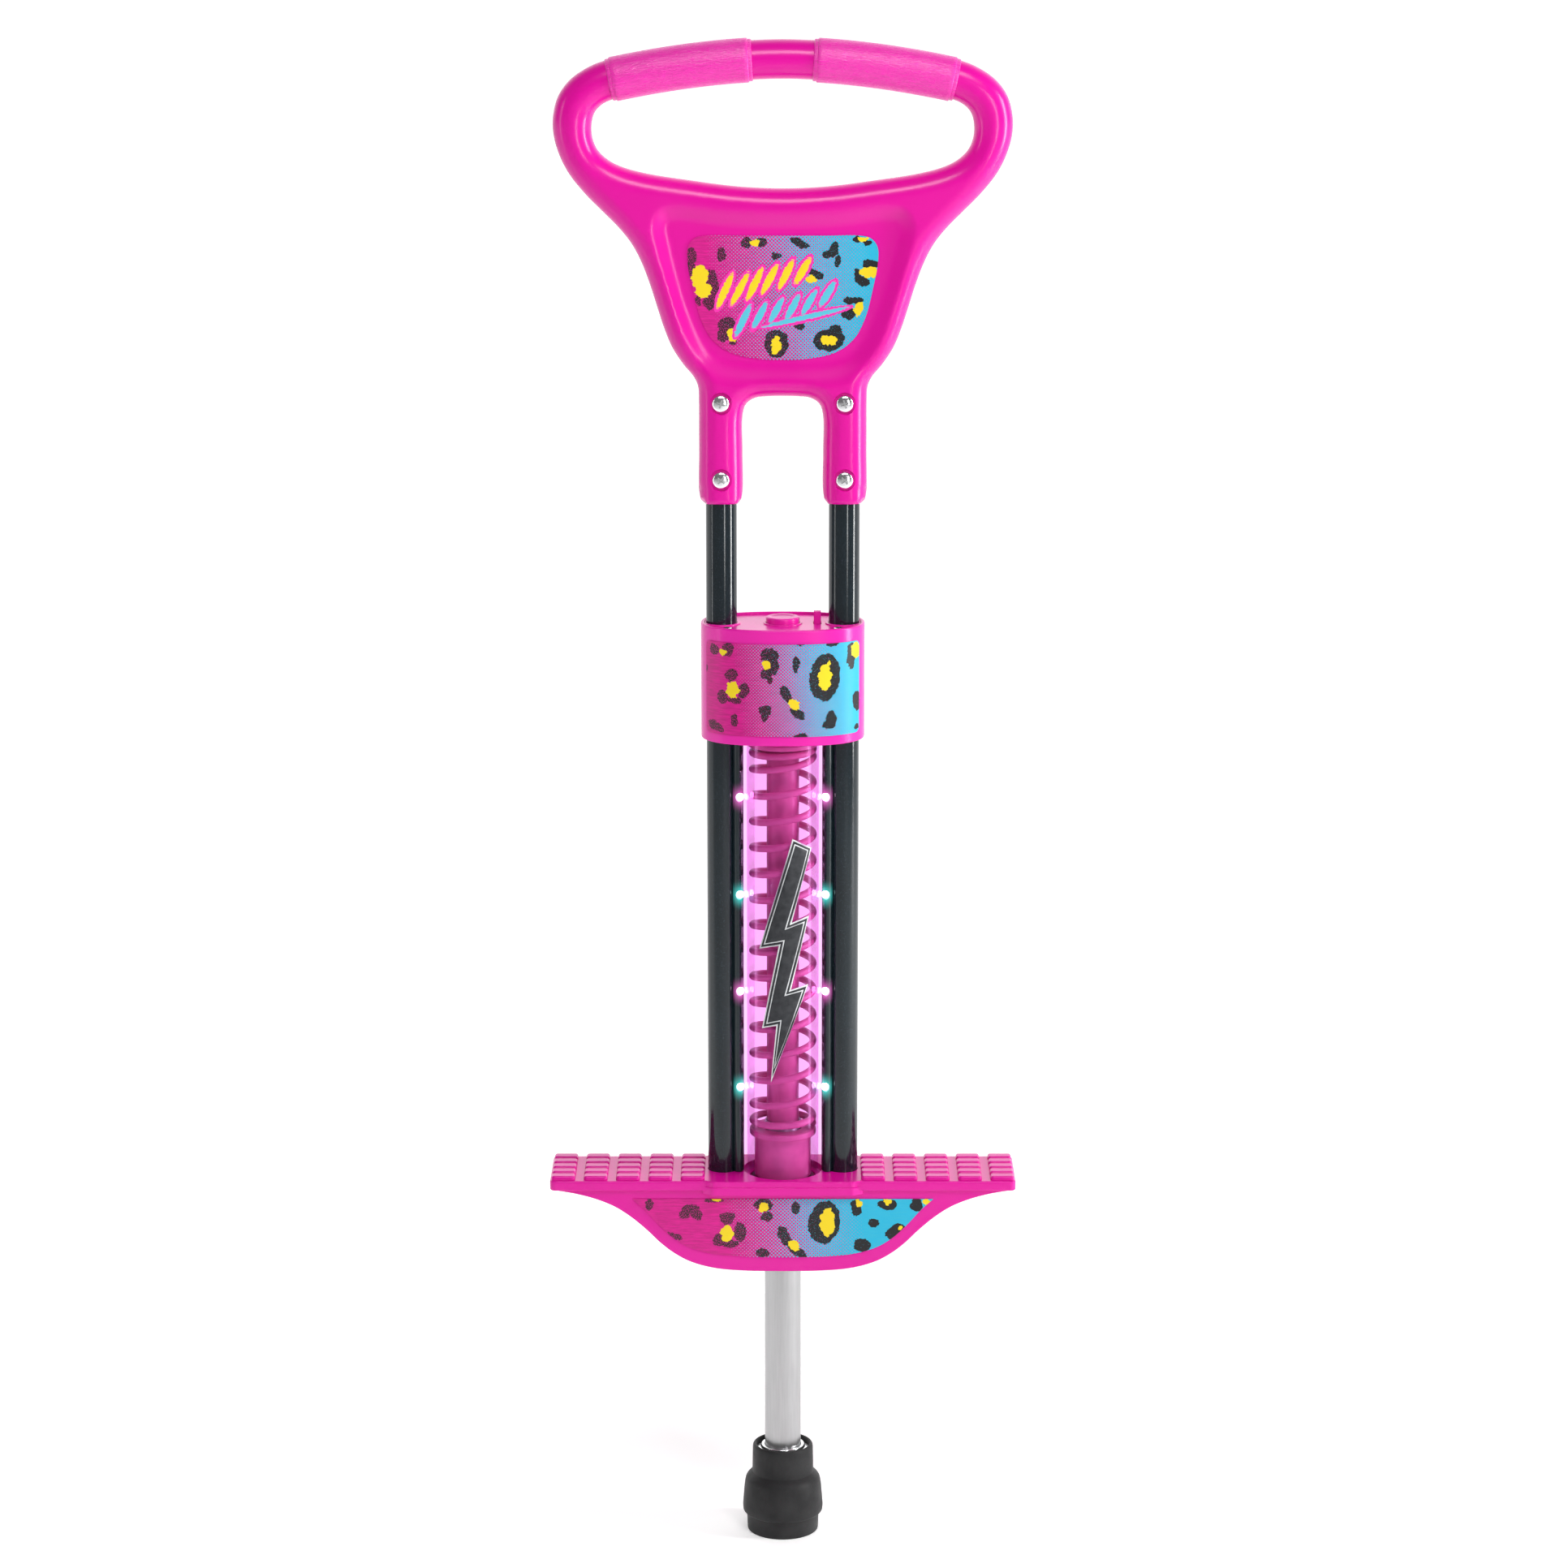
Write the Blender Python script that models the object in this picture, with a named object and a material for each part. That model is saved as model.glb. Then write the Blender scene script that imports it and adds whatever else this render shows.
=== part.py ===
"""Child's twin-tube pogo stick, 0.95 m tall, standing upright at rest.

Run in Blender 4.5: blender --background --python part.py

Frame: metres, +Z up, origin on the floor under the centre of the rubber foot.
The front, with the labels, faces -Y. +X is to the right seen from the front.
"""

import math

import bmesh
import bpy
import numpy as np
from mathutils import Matrix, Vector
from mathutils.geometry import delaunay_2d_cdt

MM = 0.001
GAP = 0.0003  # clearance between neighbouring pieces
ROUND = 20  # sides of a round piece

# ---- driving dimensions, metres ----
TOTAL_HEIGHT = 0.949

TUBE_X = 0.0377  # frame tube centres, left and right
TUBE_R = 0.0095
TUBE_WALL = 0.0013
TUBE_BOTTOM = 0.2075
TUBE_TOP = 0.7420

BAR_R = 0.0118  # round grip bar, and half the handle's thickness
BAR_CENTRE_Z = TOTAL_HEIGHT - BAR_R
BAR_END_X = 0.106
BAR_DROP = 0.0129  # fall of the arched bar between its middle and BAR_END_X
BAR_POWER = 1.8
HANDLE_ROUND = 0.0114  # edge rounding of the moulded handle
LEG_BOTTOM = 0.6676
LABEL_RECESS = 0.0042  # depth of the sunken panel, front and back
RECESS_SLOPE = 0.0070  # width of the soft slope around the panel

GRIP_START_X = 0.0185
GRIP_END_X = 0.1045
GRIP_R = 0.0134

BOLT_HEIGHTS = {"upper": 0.7306, "lower": 0.6837}
BOLT_R = 0.0020
BOLT_HEAD_R = 0.0055
BOLT_SEAT_R = 0.0066
BOLT_SEAT_Y = 0.0104  # depth of the flat seats for bolt heads and nuts
NUT_R = 0.0046
NUT_HEIGHT = 0.0034

HOUSING_A = 0.0505  # half width and half depth of the oval housing
HOUSING_B = 0.0330
HOUSING_POWER = 2.35
HOUSING_BOTTOM = 0.5222
HOUSING_TOP = 0.5945
HOUSING_FLOOR = 0.0060
HOUSING_WALL = 0.0022
LID_TOP = 0.5930
LID_THICK = 0.0025
BUTTON_R = 0.0104
BUTTON_TOP = 0.5975
BUTTON_TRAVEL = 0.0015
LEVER_X = 0.0213
LEVER_W = 0.0045
LEVER_TOP = 0.6008
LEVER_TRAVEL = 0.0040
BOARD_Z = 0.5800
BOARD_THICK = 0.0016
BATTERY_R = 0.0052
BATTERY_LENGTH = 0.0440
BATTERY_PITCH = 0.0125
BATTERY_Y = 0.0155
BATTERY_BOTTOM = 0.5375
DOOR_LOW = (-0.0190, 0.0, 0.5350)  # opening for the battery door, at the back
DOOR_HIGH = (0.0190, 0.05, 0.5860)
DOOR_SCREW_Z = 0.5400
LID_SCREW_X = 0.0340
LID_SCREW_Y = -0.0170
SMALL_SCREW_HOLE_R = 0.0018
SMALL_SCREW_SEAT_R = 0.0031
WIRE_X = 0.0268
WIRE_Y = -0.0075
WIRE_SLEEVE_R = 0.0008
WIRE_HOLE_R = 0.0016
HOUSING_LABEL_HALF = 0.0515  # measured round the housing from its front centre
HOUSING_LABEL_LOW = 0.5283
HOUSING_LABEL_HIGH = 0.5859
HOUSING_LABEL_CORNER_R = 0.0040

CLEAR_R = 0.0247  # clear tube around the spring
CLEAR_WALL = 0.0022
CLEAR_BOTTOM = 0.2378
CLEAR_TOP = 0.5249
RAIL_BOTTOM = 0.2423
RAIL_TOP = HOUSING_BOTTOM - GAP
LED_TOP_Z = 0.4848
LED_PITCH = 0.0623
LED_X = 0.0264
LED_R = 0.0020

SPRING_R = 0.01895  # mean coil radius
WIRE_R = 0.00225
SPRING_BOTTOM = 0.2697
SPRING_TOP = 0.5162
SPRING_TURNS = 16
ROD_R = 0.0101
ROD_BOTTOM = 0.1900
ROD_TOP = 0.5342

SHAFT_R = 0.01145
SHAFT_BORE_R = 0.01035
SHAFT_BOTTOM = 0.0143
SHAFT_TOP = 0.2745
CUP_BOTTOM = 0.2380
CUP_RIM_R = 0.0209
CUP_BODY_R = 0.0178

PLATE_HALF_X = 0.1464
PLATE_HALF_Y = 0.0270
PLATE_TOP = 0.2416
PLATE_THICK = 0.0064
BLOCK_HALF_Y = 0.0300
BLOCK_TOP = 0.2420
BLOCK_BOTTOM = 0.2330
RIDGE_COLUMNS = 5
RIDGE_ROWS = 5
RIDGE_FIRST_X = 0.0568
RIDGE_PITCH_X = 0.0203
RIDGE_PITCH_Y = 0.0104
RIDGE_LENGTH = 0.0145
RIDGE_WIDTH = 0.0076
RIDGE_HEIGHT = 0.0026
SKIRT_HALF_Y = 0.0250
SKIRT_WALL = 0.0030
SKIRT_BOTTOM = 0.1815
BUSH_R = 0.0145
PLATE_BOLT_Z = 0.2200
BUMPER_TOP = 0.2376

STICKER = 0.0003  # thickness of the printed labels

SIDES = {"left": -1, "right": 1}

PINK = (0.87, 0.012, 0.37)
HOUSING_PINK = (0.93, 0.03, 0.45)
BLACK = (0.012, 0.014, 0.018)
STEEL = (0.62, 0.63, 0.65)


# ---- helpers ----


def clear_scene():
    for obj in list(bpy.data.objects):
        bpy.data.objects.remove(obj, do_unlink=True)


def material(name, colour, roughness=0.4, metallic=0.0, alpha=1.0):
    """One Principled material, made once and shared by its name."""
    found = bpy.data.materials.get(name)
    if found:
        return found
    made = bpy.data.materials.new(name)
    made.use_nodes = True
    shader = made.node_tree.nodes["Principled BSDF"]
    shader.inputs["Base Color"].default_value = (*colour, 1.0)
    shader.inputs["Roughness"].default_value = roughness
    shader.inputs["Metallic"].default_value = metallic
    shader.inputs["Alpha"].default_value = alpha
    made.diffuse_color = (*colour, alpha)
    return made


def finish(bm, name, finish_material=None, sharp=40):
    """Turns a bmesh into a named object with clean outward normals."""
    bmesh.ops.remove_doubles(bm, verts=bm.verts, dist=1e-6)
    bmesh.ops.recalc_face_normals(bm, faces=bm.faces)
    mesh = bpy.data.meshes.new(name)
    bm.to_mesh(mesh)
    bm.free()
    mesh.shade_smooth()
    mesh.set_sharp_from_angle(angle=math.radians(sharp))
    obj = bpy.data.objects.new(name, mesh)
    bpy.context.scene.collection.objects.link(obj)
    if finish_material:
        mesh.materials.append(finish_material)
    return obj


def combine(obj, operation, *others):
    """Applies Booleans to obj with the other objects, then removes those."""
    for other in others:
        step = obj.modifiers.new(operation.lower(), "BOOLEAN")
        step.operation = operation
        step.solver = "EXACT"
        step.object = other
    graph = bpy.context.evaluated_depsgraph_get()
    result = bpy.data.meshes.new_from_object(obj.evaluated_get(graph))
    obj.modifiers.clear()
    obj.data = result
    result.shade_smooth()
    result.set_sharp_from_angle(angle=math.radians(40))
    for other in others:
        bpy.data.objects.remove(other, do_unlink=True)
    return obj


def cut(obj, *cutters):
    return combine(obj, "DIFFERENCE", *cutters)


def join(obj, *others):
    return combine(obj, "UNION", *others)


def box(low, high, name="box", finish_material=None, bevel=0.0, segments=2):
    bm = bmesh.new()
    centre = (Vector(low) + Vector(high)) / 2
    size = Vector(high) - Vector(low)
    frame = Matrix.Translation(centre) @ Matrix.Diagonal((*size, 1.0))
    bmesh.ops.create_cube(bm, size=1.0, matrix=frame)
    if bevel:
        bmesh.ops.bevel(bm, geom=bm.edges[:], offset=bevel, segments=segments, affect="EDGES", profile=0.5)
    return finish(bm, name, finish_material)


def turned(profile, name="turned", finish_material=None, segments=ROUND, place=None, sharp=40):
    """A closed (radius, height) outline turned about Z. Radius 0 makes a pole."""
    bm = bmesh.new()
    rings = []
    for radius, height in profile:
        if radius < 1e-7:
            rings.append([bm.verts.new((0.0, 0.0, height))])
            continue
        angles = [2 * math.pi * i / segments for i in range(segments)]
        rings.append([bm.verts.new((radius * math.cos(a), radius * math.sin(a), height)) for a in angles])
    for ring, following in zip(rings, rings[1:] + rings[:1]):
        if len(ring) == 1 and len(following) == 1:
            continue
        for i in range(segments):
            j = (i + 1) % segments
            corners = [ring[i % len(ring)], ring[j % len(ring)]]
            corners += [following[j % len(following)], following[i % len(following)]]
            bm.faces.new(list(dict.fromkeys(corners)))
    if place:
        bmesh.ops.transform(bm, matrix=place, verts=bm.verts)
    return finish(bm, name, finish_material, sharp)


def cylinder(radius, low, high, name="cylinder", finish_material=None, at=(0, 0), segments=ROUND, along="Z"):
    """A solid cylinder between two values of its axis; at is its centre across that axis."""
    turns = {"Z": Matrix.Identity(4), "Y": Matrix.Rotation(-math.pi / 2, 4, "X")}
    centre = {"Z": (at[0], at[1], 0), "Y": (at[0], 0, at[1])}
    profile = [(0, low), (radius, low), (radius, high), (0, high)]
    place = Matrix.Translation(centre[along]) @ turns[along]
    return turned(profile, name, finish_material, segments, place)


def prism(outline, low, high, name="prism", finish_material=None, along="Z", sharp=40):
    """A flat outline pushed out between two values of the axis it faces."""
    bm = bmesh.new()
    if along == "Z":
        base = [bm.verts.new((u, v, low)) for u, v in outline]
        push = Vector((0, 0, high - low))
    else:
        base = [bm.verts.new((u, low, v)) for u, v in outline]
        push = Vector((0, high - low, 0))
    face = bm.faces.new(base)
    grown = bmesh.ops.extrude_face_region(bm, geom=[face])
    tops = [item for item in grown["geom"] if isinstance(item, bmesh.types.BMVert)]
    bmesh.ops.translate(bm, vec=push, verts=tops)
    return finish(bm, name, finish_material, sharp)


def smooth_path(points, steps, closed=False):
    """A centripetal Catmull-Rom curve through 2-D points, with steps spans between each pair."""
    points = [Vector(p) for p in points]
    if closed:
        ring = [points[-1], *points, points[0], points[1]]
    else:
        ring = [2 * points[0] - points[1], *points, 2 * points[-1] - points[-2]]
    path = []
    for a, b, c, d in zip(ring, ring[1:], ring[2:], ring[3:]):
        times = [0.0]
        for p, q in ((a, b), (b, c), (c, d)):
            times.append(times[-1] + math.sqrt((q - p).length))
        for i in range(steps):
            path.append(spline_point((a, b, c, d), times, i / steps))
    if not closed:
        path.append(points[-1])
    return path


def spline_point(points, times, share):
    """The Barry-Goldman pyramid for one Catmull-Rom span."""
    now = times[1] + share * (times[2] - times[1])

    def blend(first, last, i, j):
        part = (now - times[i]) / (times[j] - times[i])
        return first * (1 - part) + last * part

    a, b, c = (blend(points[i], points[i + 1], i, i + 1) for i in range(3))
    return blend(blend(a, b, 0, 2), blend(b, c, 1, 3), 1, 2)


def mirrored(half):
    """Closes an outline whose half starts and ends on x = 0."""
    back = [(-x, z) for x, z in reversed(half) if abs(x) > 1e-6]
    return [*half, *back]


def in_metres(points):
    return [(x * MM, z * MM) for x, z in points]


def superellipse(a, b, power, count):
    outline = []
    for i in range(count):
        angle = 2 * math.pi * i / count
        x = a * math.copysign(abs(math.cos(angle)) ** (2 / power), math.cos(angle))
        y = b * math.copysign(abs(math.sin(angle)) ** (2 / power), math.sin(angle))
        outline.append((x, y))
    return outline


def wrapped_sheet(outline, wrap, name, finish_material, spacing=0.0):
    """A thin sticker: a flat (u, v) outline, cut across u, then bent by wrap(u, v, depth)."""
    bm = bmesh.new()
    bm.faces.new([bm.verts.new((u, 0, v)) for u, v in outline])
    if spacing:
        count = int(max(abs(u) for u, _ in outline) / spacing)
        for i in range(-count, count + 1):
            geometry = [*bm.verts, *bm.edges, *bm.faces]
            bmesh.ops.bisect_plane(bm, geom=geometry, plane_co=(i * spacing, 0, 0), plane_no=(1, 0, 0))
    grown = bmesh.ops.extrude_face_region(bm, geom=bm.faces[:])
    tops = {item for item in grown["geom"] if isinstance(item, bmesh.types.BMVert)}
    for vert in bm.verts:
        depth = STICKER if vert in tops else 0.0
        vert.co = wrap(vert.co.x, vert.co.z, depth)
    return finish(bm, name, finish_material)


# ---- handle ----


def bar_point(x, side):
    """A point of the arched bar's edge: side 1 is above its centre line, -1 below, 0 on it."""
    drop = BAR_DROP * (abs(x) / BAR_END_X) ** BAR_POWER
    slope = -BAR_POWER * drop / abs(x) if x else 0.0
    length = math.hypot(1, slope)
    return (x - side * BAR_R * slope / length, BAR_CENTRE_Z - drop + side * BAR_R / length)


def handle_outline():
    bar = [bar_point(x, 1) for x in (0, 0.018, 0.036, 0.054, 0.072, 0.090, 0.106)]
    side = [
        (118.0, 931.8), (128.0, 924.8), (135.2, 915.0), (138.3, 903.0), (138.2, 893.0),
        (135.5, 882.0), (129.5, 869.5), (119.3, 856.6), (108.9, 846.1), (99.2, 836.3),
        (91.6, 826.7), (85.7, 815.5), (80.6, 802.0), (76.2, 788.0), (72.0, 775.0),
        (67.2, 763.5), (60.5, 753.3), (54.3, 745.8), (51.7, 740.0), (51.2, 731.0),
        (51.2, 700.0), (51.1, 674.5), (49.6, 669.4), (45.5, 667.6), (37.9, 667.6),
        (30.3, 667.6), (26.2, 669.4), (24.7, 674.5), (24.6, 700.0), (24.5, 722.0),
        (22.4, 729.0), (17.0, 732.8), (9.0, 733.8), (0.0, 734.0),
    ]  # fmt: skip
    return mirrored([*bar, *in_metres(side)])


def opening_outline():
    bar = [bar_point(x, -1) for x in (0, 0.018, 0.036, 0.054, 0.072, 0.090, 0.105)]
    side = [
        (109.0, 909.8), (113.2, 905.2), (115.0, 898.5), (114.7, 891.0),
        (111.8, 883.5), (106.0, 877.6), (98.0, 873.3), (83.4, 869.2), (54.2, 864.6),
        (27.0, 861.2), (0.0, 860.0),
    ]  # fmt: skip
    return mirrored([*bar, *in_metres(side)])


def recess_outline():
    half = [
        (0.0, 844.3), (35.0, 845.6), (62.0, 848.8), (73.0, 847.2), (77.5, 839.0),
        (75.3, 824.0), (71.0, 806.0), (65.3, 786.0), (58.0, 765.0), (50.0, 752.5),
        (36.0, 745.6), (0.0, 743.6),
    ]  # fmt: skip
    return smooth_path(in_metres(mirrored(half)), 1, closed=True)


def signed_distance(points, outline):
    """Distance of each 2-D point from a closed outline, positive inside it."""
    start = np.array([tuple(p) for p in outline])
    span = np.roll(start, -1, axis=0) - start
    reach = points[:, None] - start
    share = np.clip((reach * span).sum(2) / (span**2).sum(1), 0, 1)
    near = np.linalg.norm(reach - share[..., None] * span, axis=2).min(1)
    end_z = start[:, 1] + span[:, 1]
    crosses = (start[:, 1] > points[:, None, 1]) != (end_z > points[:, None, 1])
    rise = np.where(span[:, 1] == 0, 1e-12, span[:, 1])
    cross_x = start[:, 0] + (points[:, None, 1] - start[:, 1]) * span[:, 0] / rise
    inside = (crosses & (points[:, None, 0] < cross_x)).sum(1) % 2 == 1
    return np.where(inside, near, -near)


def inset_points(outline, distance):
    """The outline's points moved inwards, left out where the outline is too narrow for them."""
    ring = np.array([tuple(p) for p in outline])
    tangent = np.roll(ring, -1, axis=0) - np.roll(ring, 1, axis=0)
    normal = np.stack([tangent[:, 1], -tangent[:, 0]], axis=1)
    normal /= np.linalg.norm(normal, axis=1)[:, None]
    for sign in (1, -1):
        moved = ring + sign * distance * normal
        if np.median(signed_distance(moved, outline)) > -1e-9:
            return moved
    raise ValueError("outline has no inside")


def smooth_step(value):
    share = np.clip(value, 0, 1)
    return share * share * (3 - 2 * share)


def handle_half_thickness(points, outer, opening, recess):
    """Round at the edges, full in the middle, and lower over the sunken panel."""
    edge = np.minimum(signed_distance(points, outer), -signed_distance(points, opening))
    part = np.clip(edge / HANDLE_ROUND, 0, 1)
    thick = BAR_R * np.sqrt(1 - (1 - part) ** 2)
    sunk = smooth_step((signed_distance(points, recess) + 0.001) / RECESS_SLOPE)
    return thick - LABEL_RECESS * sunk, edge


def handle_shell(pink):
    """Front and back skins over one triangulated outline, meeting at its edge."""
    outer = smooth_path(handle_outline(), 1, True)
    opening = smooth_path(opening_outline(), 1, True)
    recess = recess_outline()
    inner = []
    for distance in (0.0014, 0.0050, HANDLE_ROUND):
        for outline in (outer, opening):
            if outline is opening:
                moved = 2 * np.array([tuple(p) for p in outline]) - inset_points(outline, distance)
            else:
                moved = inset_points(outline, distance)
            _, edge = handle_half_thickness(moved, outer, opening, recess)
            inner += [tuple(p) for p in moved[edge > 0.96 * distance]]
    for distance in (0.0, RECESS_SLOPE):
        inner += [tuple(p) for p in inset_points(recess, distance)]
    spaced = spaced_out(inner, 0.0042)
    loops = [outer, opening]
    verts = [Vector(p) for loop in loops for p in loop] + [Vector(p) for p in spaced]
    faces = [list(range(len(outer))), list(range(len(outer), len(outer) + len(opening)))]
    flat = delaunay_2d_cdt(verts, [], faces, 2, 1e-7)
    points = np.array([tuple(p) for p in flat[0]])
    thick, edge = handle_half_thickness(points, outer, opening, recess)
    bm = bmesh.new()
    skins = []
    for facing in (-1, 1):
        row = []
        for (x, z), half, inside in zip(points, thick, edge):
            y = facing * half if inside > 1e-6 else 0.0
            row.append(bm.verts.new((x, y, z)))
        skins.append(row)
    for triangle in flat[2]:
        for row in skins:
            bm.faces.new([row[i] for i in triangle])
    return finish(bm, "handle_body", pink)


def spaced_out(points, least):
    """Drops points that lie nearer than least to one already kept."""
    kept = np.empty((0, 2))
    for point in points:
        if not len(kept) or np.linalg.norm(kept - point, axis=1).min() > least:
            kept = np.vstack([kept, point])
    return [tuple(p) for p in kept]


def make_handle(pink):
    body = handle_shell(pink)
    cutters = []
    for x in (-TUBE_X, TUBE_X):
        cutters.append(cylinder(TUBE_R + GAP, LEG_BOTTOM - 0.01, TUBE_TOP + GAP, at=(x, 0)))
        for z in BOLT_HEIGHTS.values():
            cutters.append(cylinder(BOLT_R + GAP, -0.02, 0.02, at=(x, z), along="Y", segments=10))
            cutters.append(cylinder(BOLT_SEAT_R, -0.02, -BOLT_SEAT_Y, at=(x, z), along="Y", segments=16))
            cutters.append(cylinder(BOLT_SEAT_R, BOLT_SEAT_Y, 0.02, at=(x, z), along="Y", segments=16))
    cut(body, *cutters)


def make_grip(side, name, rubbery):
    """A sleeve moulded around the arched bar, with a stepped collar at each end."""
    bm = bmesh.new()
    stations = 7
    segments = 18
    inner = BAR_R + 2 * GAP
    rings = []
    for i in range(stations + 1):
        x = GRIP_START_X + (GRIP_END_X - GRIP_START_X) * i / stations
        across, height = bar_point(x, 0)
        top_x, top_z = bar_point(x, 1)
        up = Vector((top_x - across, 0, top_z - height)).normalized()
        centre = Vector((across, 0, height))
        outer = GRIP_R - (0.0006 if i in (0, stations) else 0.0)
        for radius in (outer, inner):
            ring = []
            for k in range(segments):
                angle = 2 * math.pi * k / segments
                spot = centre + radius * (math.cos(angle) * up + math.sin(angle) * Vector((0, 1, 0)))
                ring.append(bm.verts.new((side * spot.x, spot.y, spot.z)))
            rings.append(ring)
    order = [*rings[0::2], *reversed(rings[1::2])]
    for ring, following in zip(order, order[1:] + order[:1]):
        for k in range(segments):
            j = (k + 1) % segments
            bm.faces.new((ring[k], ring[j], following[j], following[k]))
    finish(bm, name, rubbery)


def label_outline():
    half = [
        (0.0, 832.2), (47.0, 832.2), (53.5, 830.4), (57.2, 825.5), (57.6, 817.0), (54.5, 800.0),
        (49.8, 782.0), (43.0, 769.5), (32.0, 761.5), (16.0, 757.8), (0.0, 757.0),
    ]  # fmt: skip
    return smooth_path(in_metres(mirrored(half)), 2, closed=True)


def make_handle_label(printed):
    face_y = -(BAR_R - LABEL_RECESS) - GAP / 2

    def wrap(u, v, depth):
        return Vector((u, face_y - depth, v))

    wrapped_sheet(label_outline(), wrap, "handle_label", printed)


def bolt_profile(length):
    """Shank and domed head, with the head's underside at 0 and the shank below it."""
    dome = [(BOLT_HEAD_R * math.cos(a), 0.0008 + 0.0024 * math.sin(a)) for a in (0, 0.5, 1.0)]
    return [(0, -length), (BOLT_R, -length), (BOLT_R, 0), (BOLT_HEAD_R, 0), *dome, (0, 0.0032)]


def cross_recess(at, front_y, size):
    """Two crossed bars that cut a driver's cross into a screw head facing -Y."""
    x, z = at
    wide = box((x - size, front_y - 0.001, z - size / 5), (x + size, front_y + 0.0012, z + size / 5))
    tall = box((x - size / 5, front_y - 0.001, z - size), (x + size / 5, front_y + 0.0012, z + size))
    return wide, tall


def make_handle_bolts(chrome):
    for side, sign in SIDES.items():
        for level, z in BOLT_HEIGHTS.items():
            x = sign * TUBE_X
            seat = BOLT_SEAT_Y + GAP
            place = Matrix.Translation((x, -seat, z)) @ Matrix.Rotation(math.pi / 2, 4, "X")
            name = f"handle_bolt_{level}_{side}"
            bolt = turned(bolt_profile(seat + 0.0145), name, chrome, 14, place)
            cut(bolt, *cross_recess((x, z), -seat - 0.0032, 0.0026))
            make_nut(f"handle_nut_{level}_{side}", (x, z), seat, chrome)


def make_nut(name, at, low, chrome):
    x, z = at
    body = cylinder(NUT_R, low, low + NUT_HEIGHT, name, chrome, at=(x, z), along="Y", segments=6)
    cut(body, cylinder(BOLT_R + GAP / 2, 0, 0.03, at=(x, z), along="Y", segments=16))


def make_frame_tube(side, name, black):
    x = SIDES[side] * TUBE_X
    profile = [
        (TUBE_R - TUBE_WALL, TUBE_BOTTOM), (TUBE_R, TUBE_BOTTOM),
        (TUBE_R, TUBE_TOP), (TUBE_R - TUBE_WALL, TUBE_TOP),
    ]  # fmt: skip
    tube = turned(profile, name, black, ROUND, Matrix.Translation((x, 0, 0)))
    holes = [
        cylinder(BOLT_R + GAP, -0.02, 0.02, at=(x, z), along="Y", segments=10)
        for z in (*BOLT_HEIGHTS.values(), PLATE_BOLT_Z)
    ]
    cut(tube, *holes)


# ---- light and sound housing ----


def oval(inset, low, high, name="oval", finish_material=None, count=44):
    outline = superellipse(HOUSING_A - inset, HOUSING_B - inset, HOUSING_POWER, count)
    return prism(outline, low, high, name, finish_material)


def door_wall(name, finish_material=None):
    """The stretch of housing wall that the battery door takes up."""
    wall = oval(0.0, HOUSING_BOTTOM, HOUSING_TOP, name, finish_material)
    return cut(wall, oval(HOUSING_WALL, HOUSING_BOTTOM - 0.01, HOUSING_TOP + 0.01))


def make_housing(pink):
    floor_top = HOUSING_BOTTOM + HOUSING_FLOOR
    ledge = LID_TOP - LID_THICK - GAP
    body = oval(0.0, HOUSING_BOTTOM, HOUSING_TOP, "housing_body", pink)
    cutters = [
        oval(HOUSING_WALL + 0.0012, floor_top, ledge + 0.001),
        oval(HOUSING_WALL, ledge, HOUSING_TOP + 0.01),
        cylinder(CLEAR_R + GAP, HOUSING_BOTTOM - 0.01, CLEAR_TOP + GAP, segments=32),
        cylinder(ROD_R + GAP, HOUSING_BOTTOM, floor_top + 0.01),
        box(DOOR_LOW, DOOR_HIGH),
    ]
    for x in (-TUBE_X, TUBE_X):
        cutters.append(cylinder(TUBE_R + GAP, HOUSING_BOTTOM - 0.01, HOUSING_TOP + 0.01, at=(x, 0)))
    for x in (-WIRE_X, WIRE_X):
        at = (x, WIRE_Y)
        cutters.append(cylinder(WIRE_HOLE_R, HOUSING_BOTTOM - 0.01, floor_top + 0.01, at=at, segments=12))
    cut(body, *cutters)


def make_battery_door(pink):
    door = door_wall("battery_door", pink)
    inset = Vector((GAP, 0, GAP))
    area = box(Vector(DOOR_LOW) + inset, Vector(DOOR_HIGH) - inset)
    combine(door, "INTERSECT", area)
    cut(door, cylinder(SMALL_SCREW_HOLE_R, 0.02, 0.04, at=(0, DOOR_SCREW_Z), along="Y", segments=12))


def make_small_screw(name, place, length, steel):
    """A pan-head cross-recess screw: head underside at the place's origin, head along its +Z."""
    dome = [(0.0027 * math.cos(a), 0.0006 + 0.0009 * math.sin(a)) for a in (0, 0.8)]
    profile = [(0, -length), (0.0012, -length), (0.0014, 0), (0.0027, 0), *dome, (0, 0.0015)]
    screw = turned(profile, name, steel, 10)
    wide = box((-0.0015, -0.0003, 0.0008), (0.0015, 0.0003, 0.003))
    tall = box((-0.0003, -0.0015, 0.0008), (0.0003, 0.0015, 0.003))
    cut(screw, wide, tall)
    screw.data.transform(place)


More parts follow.
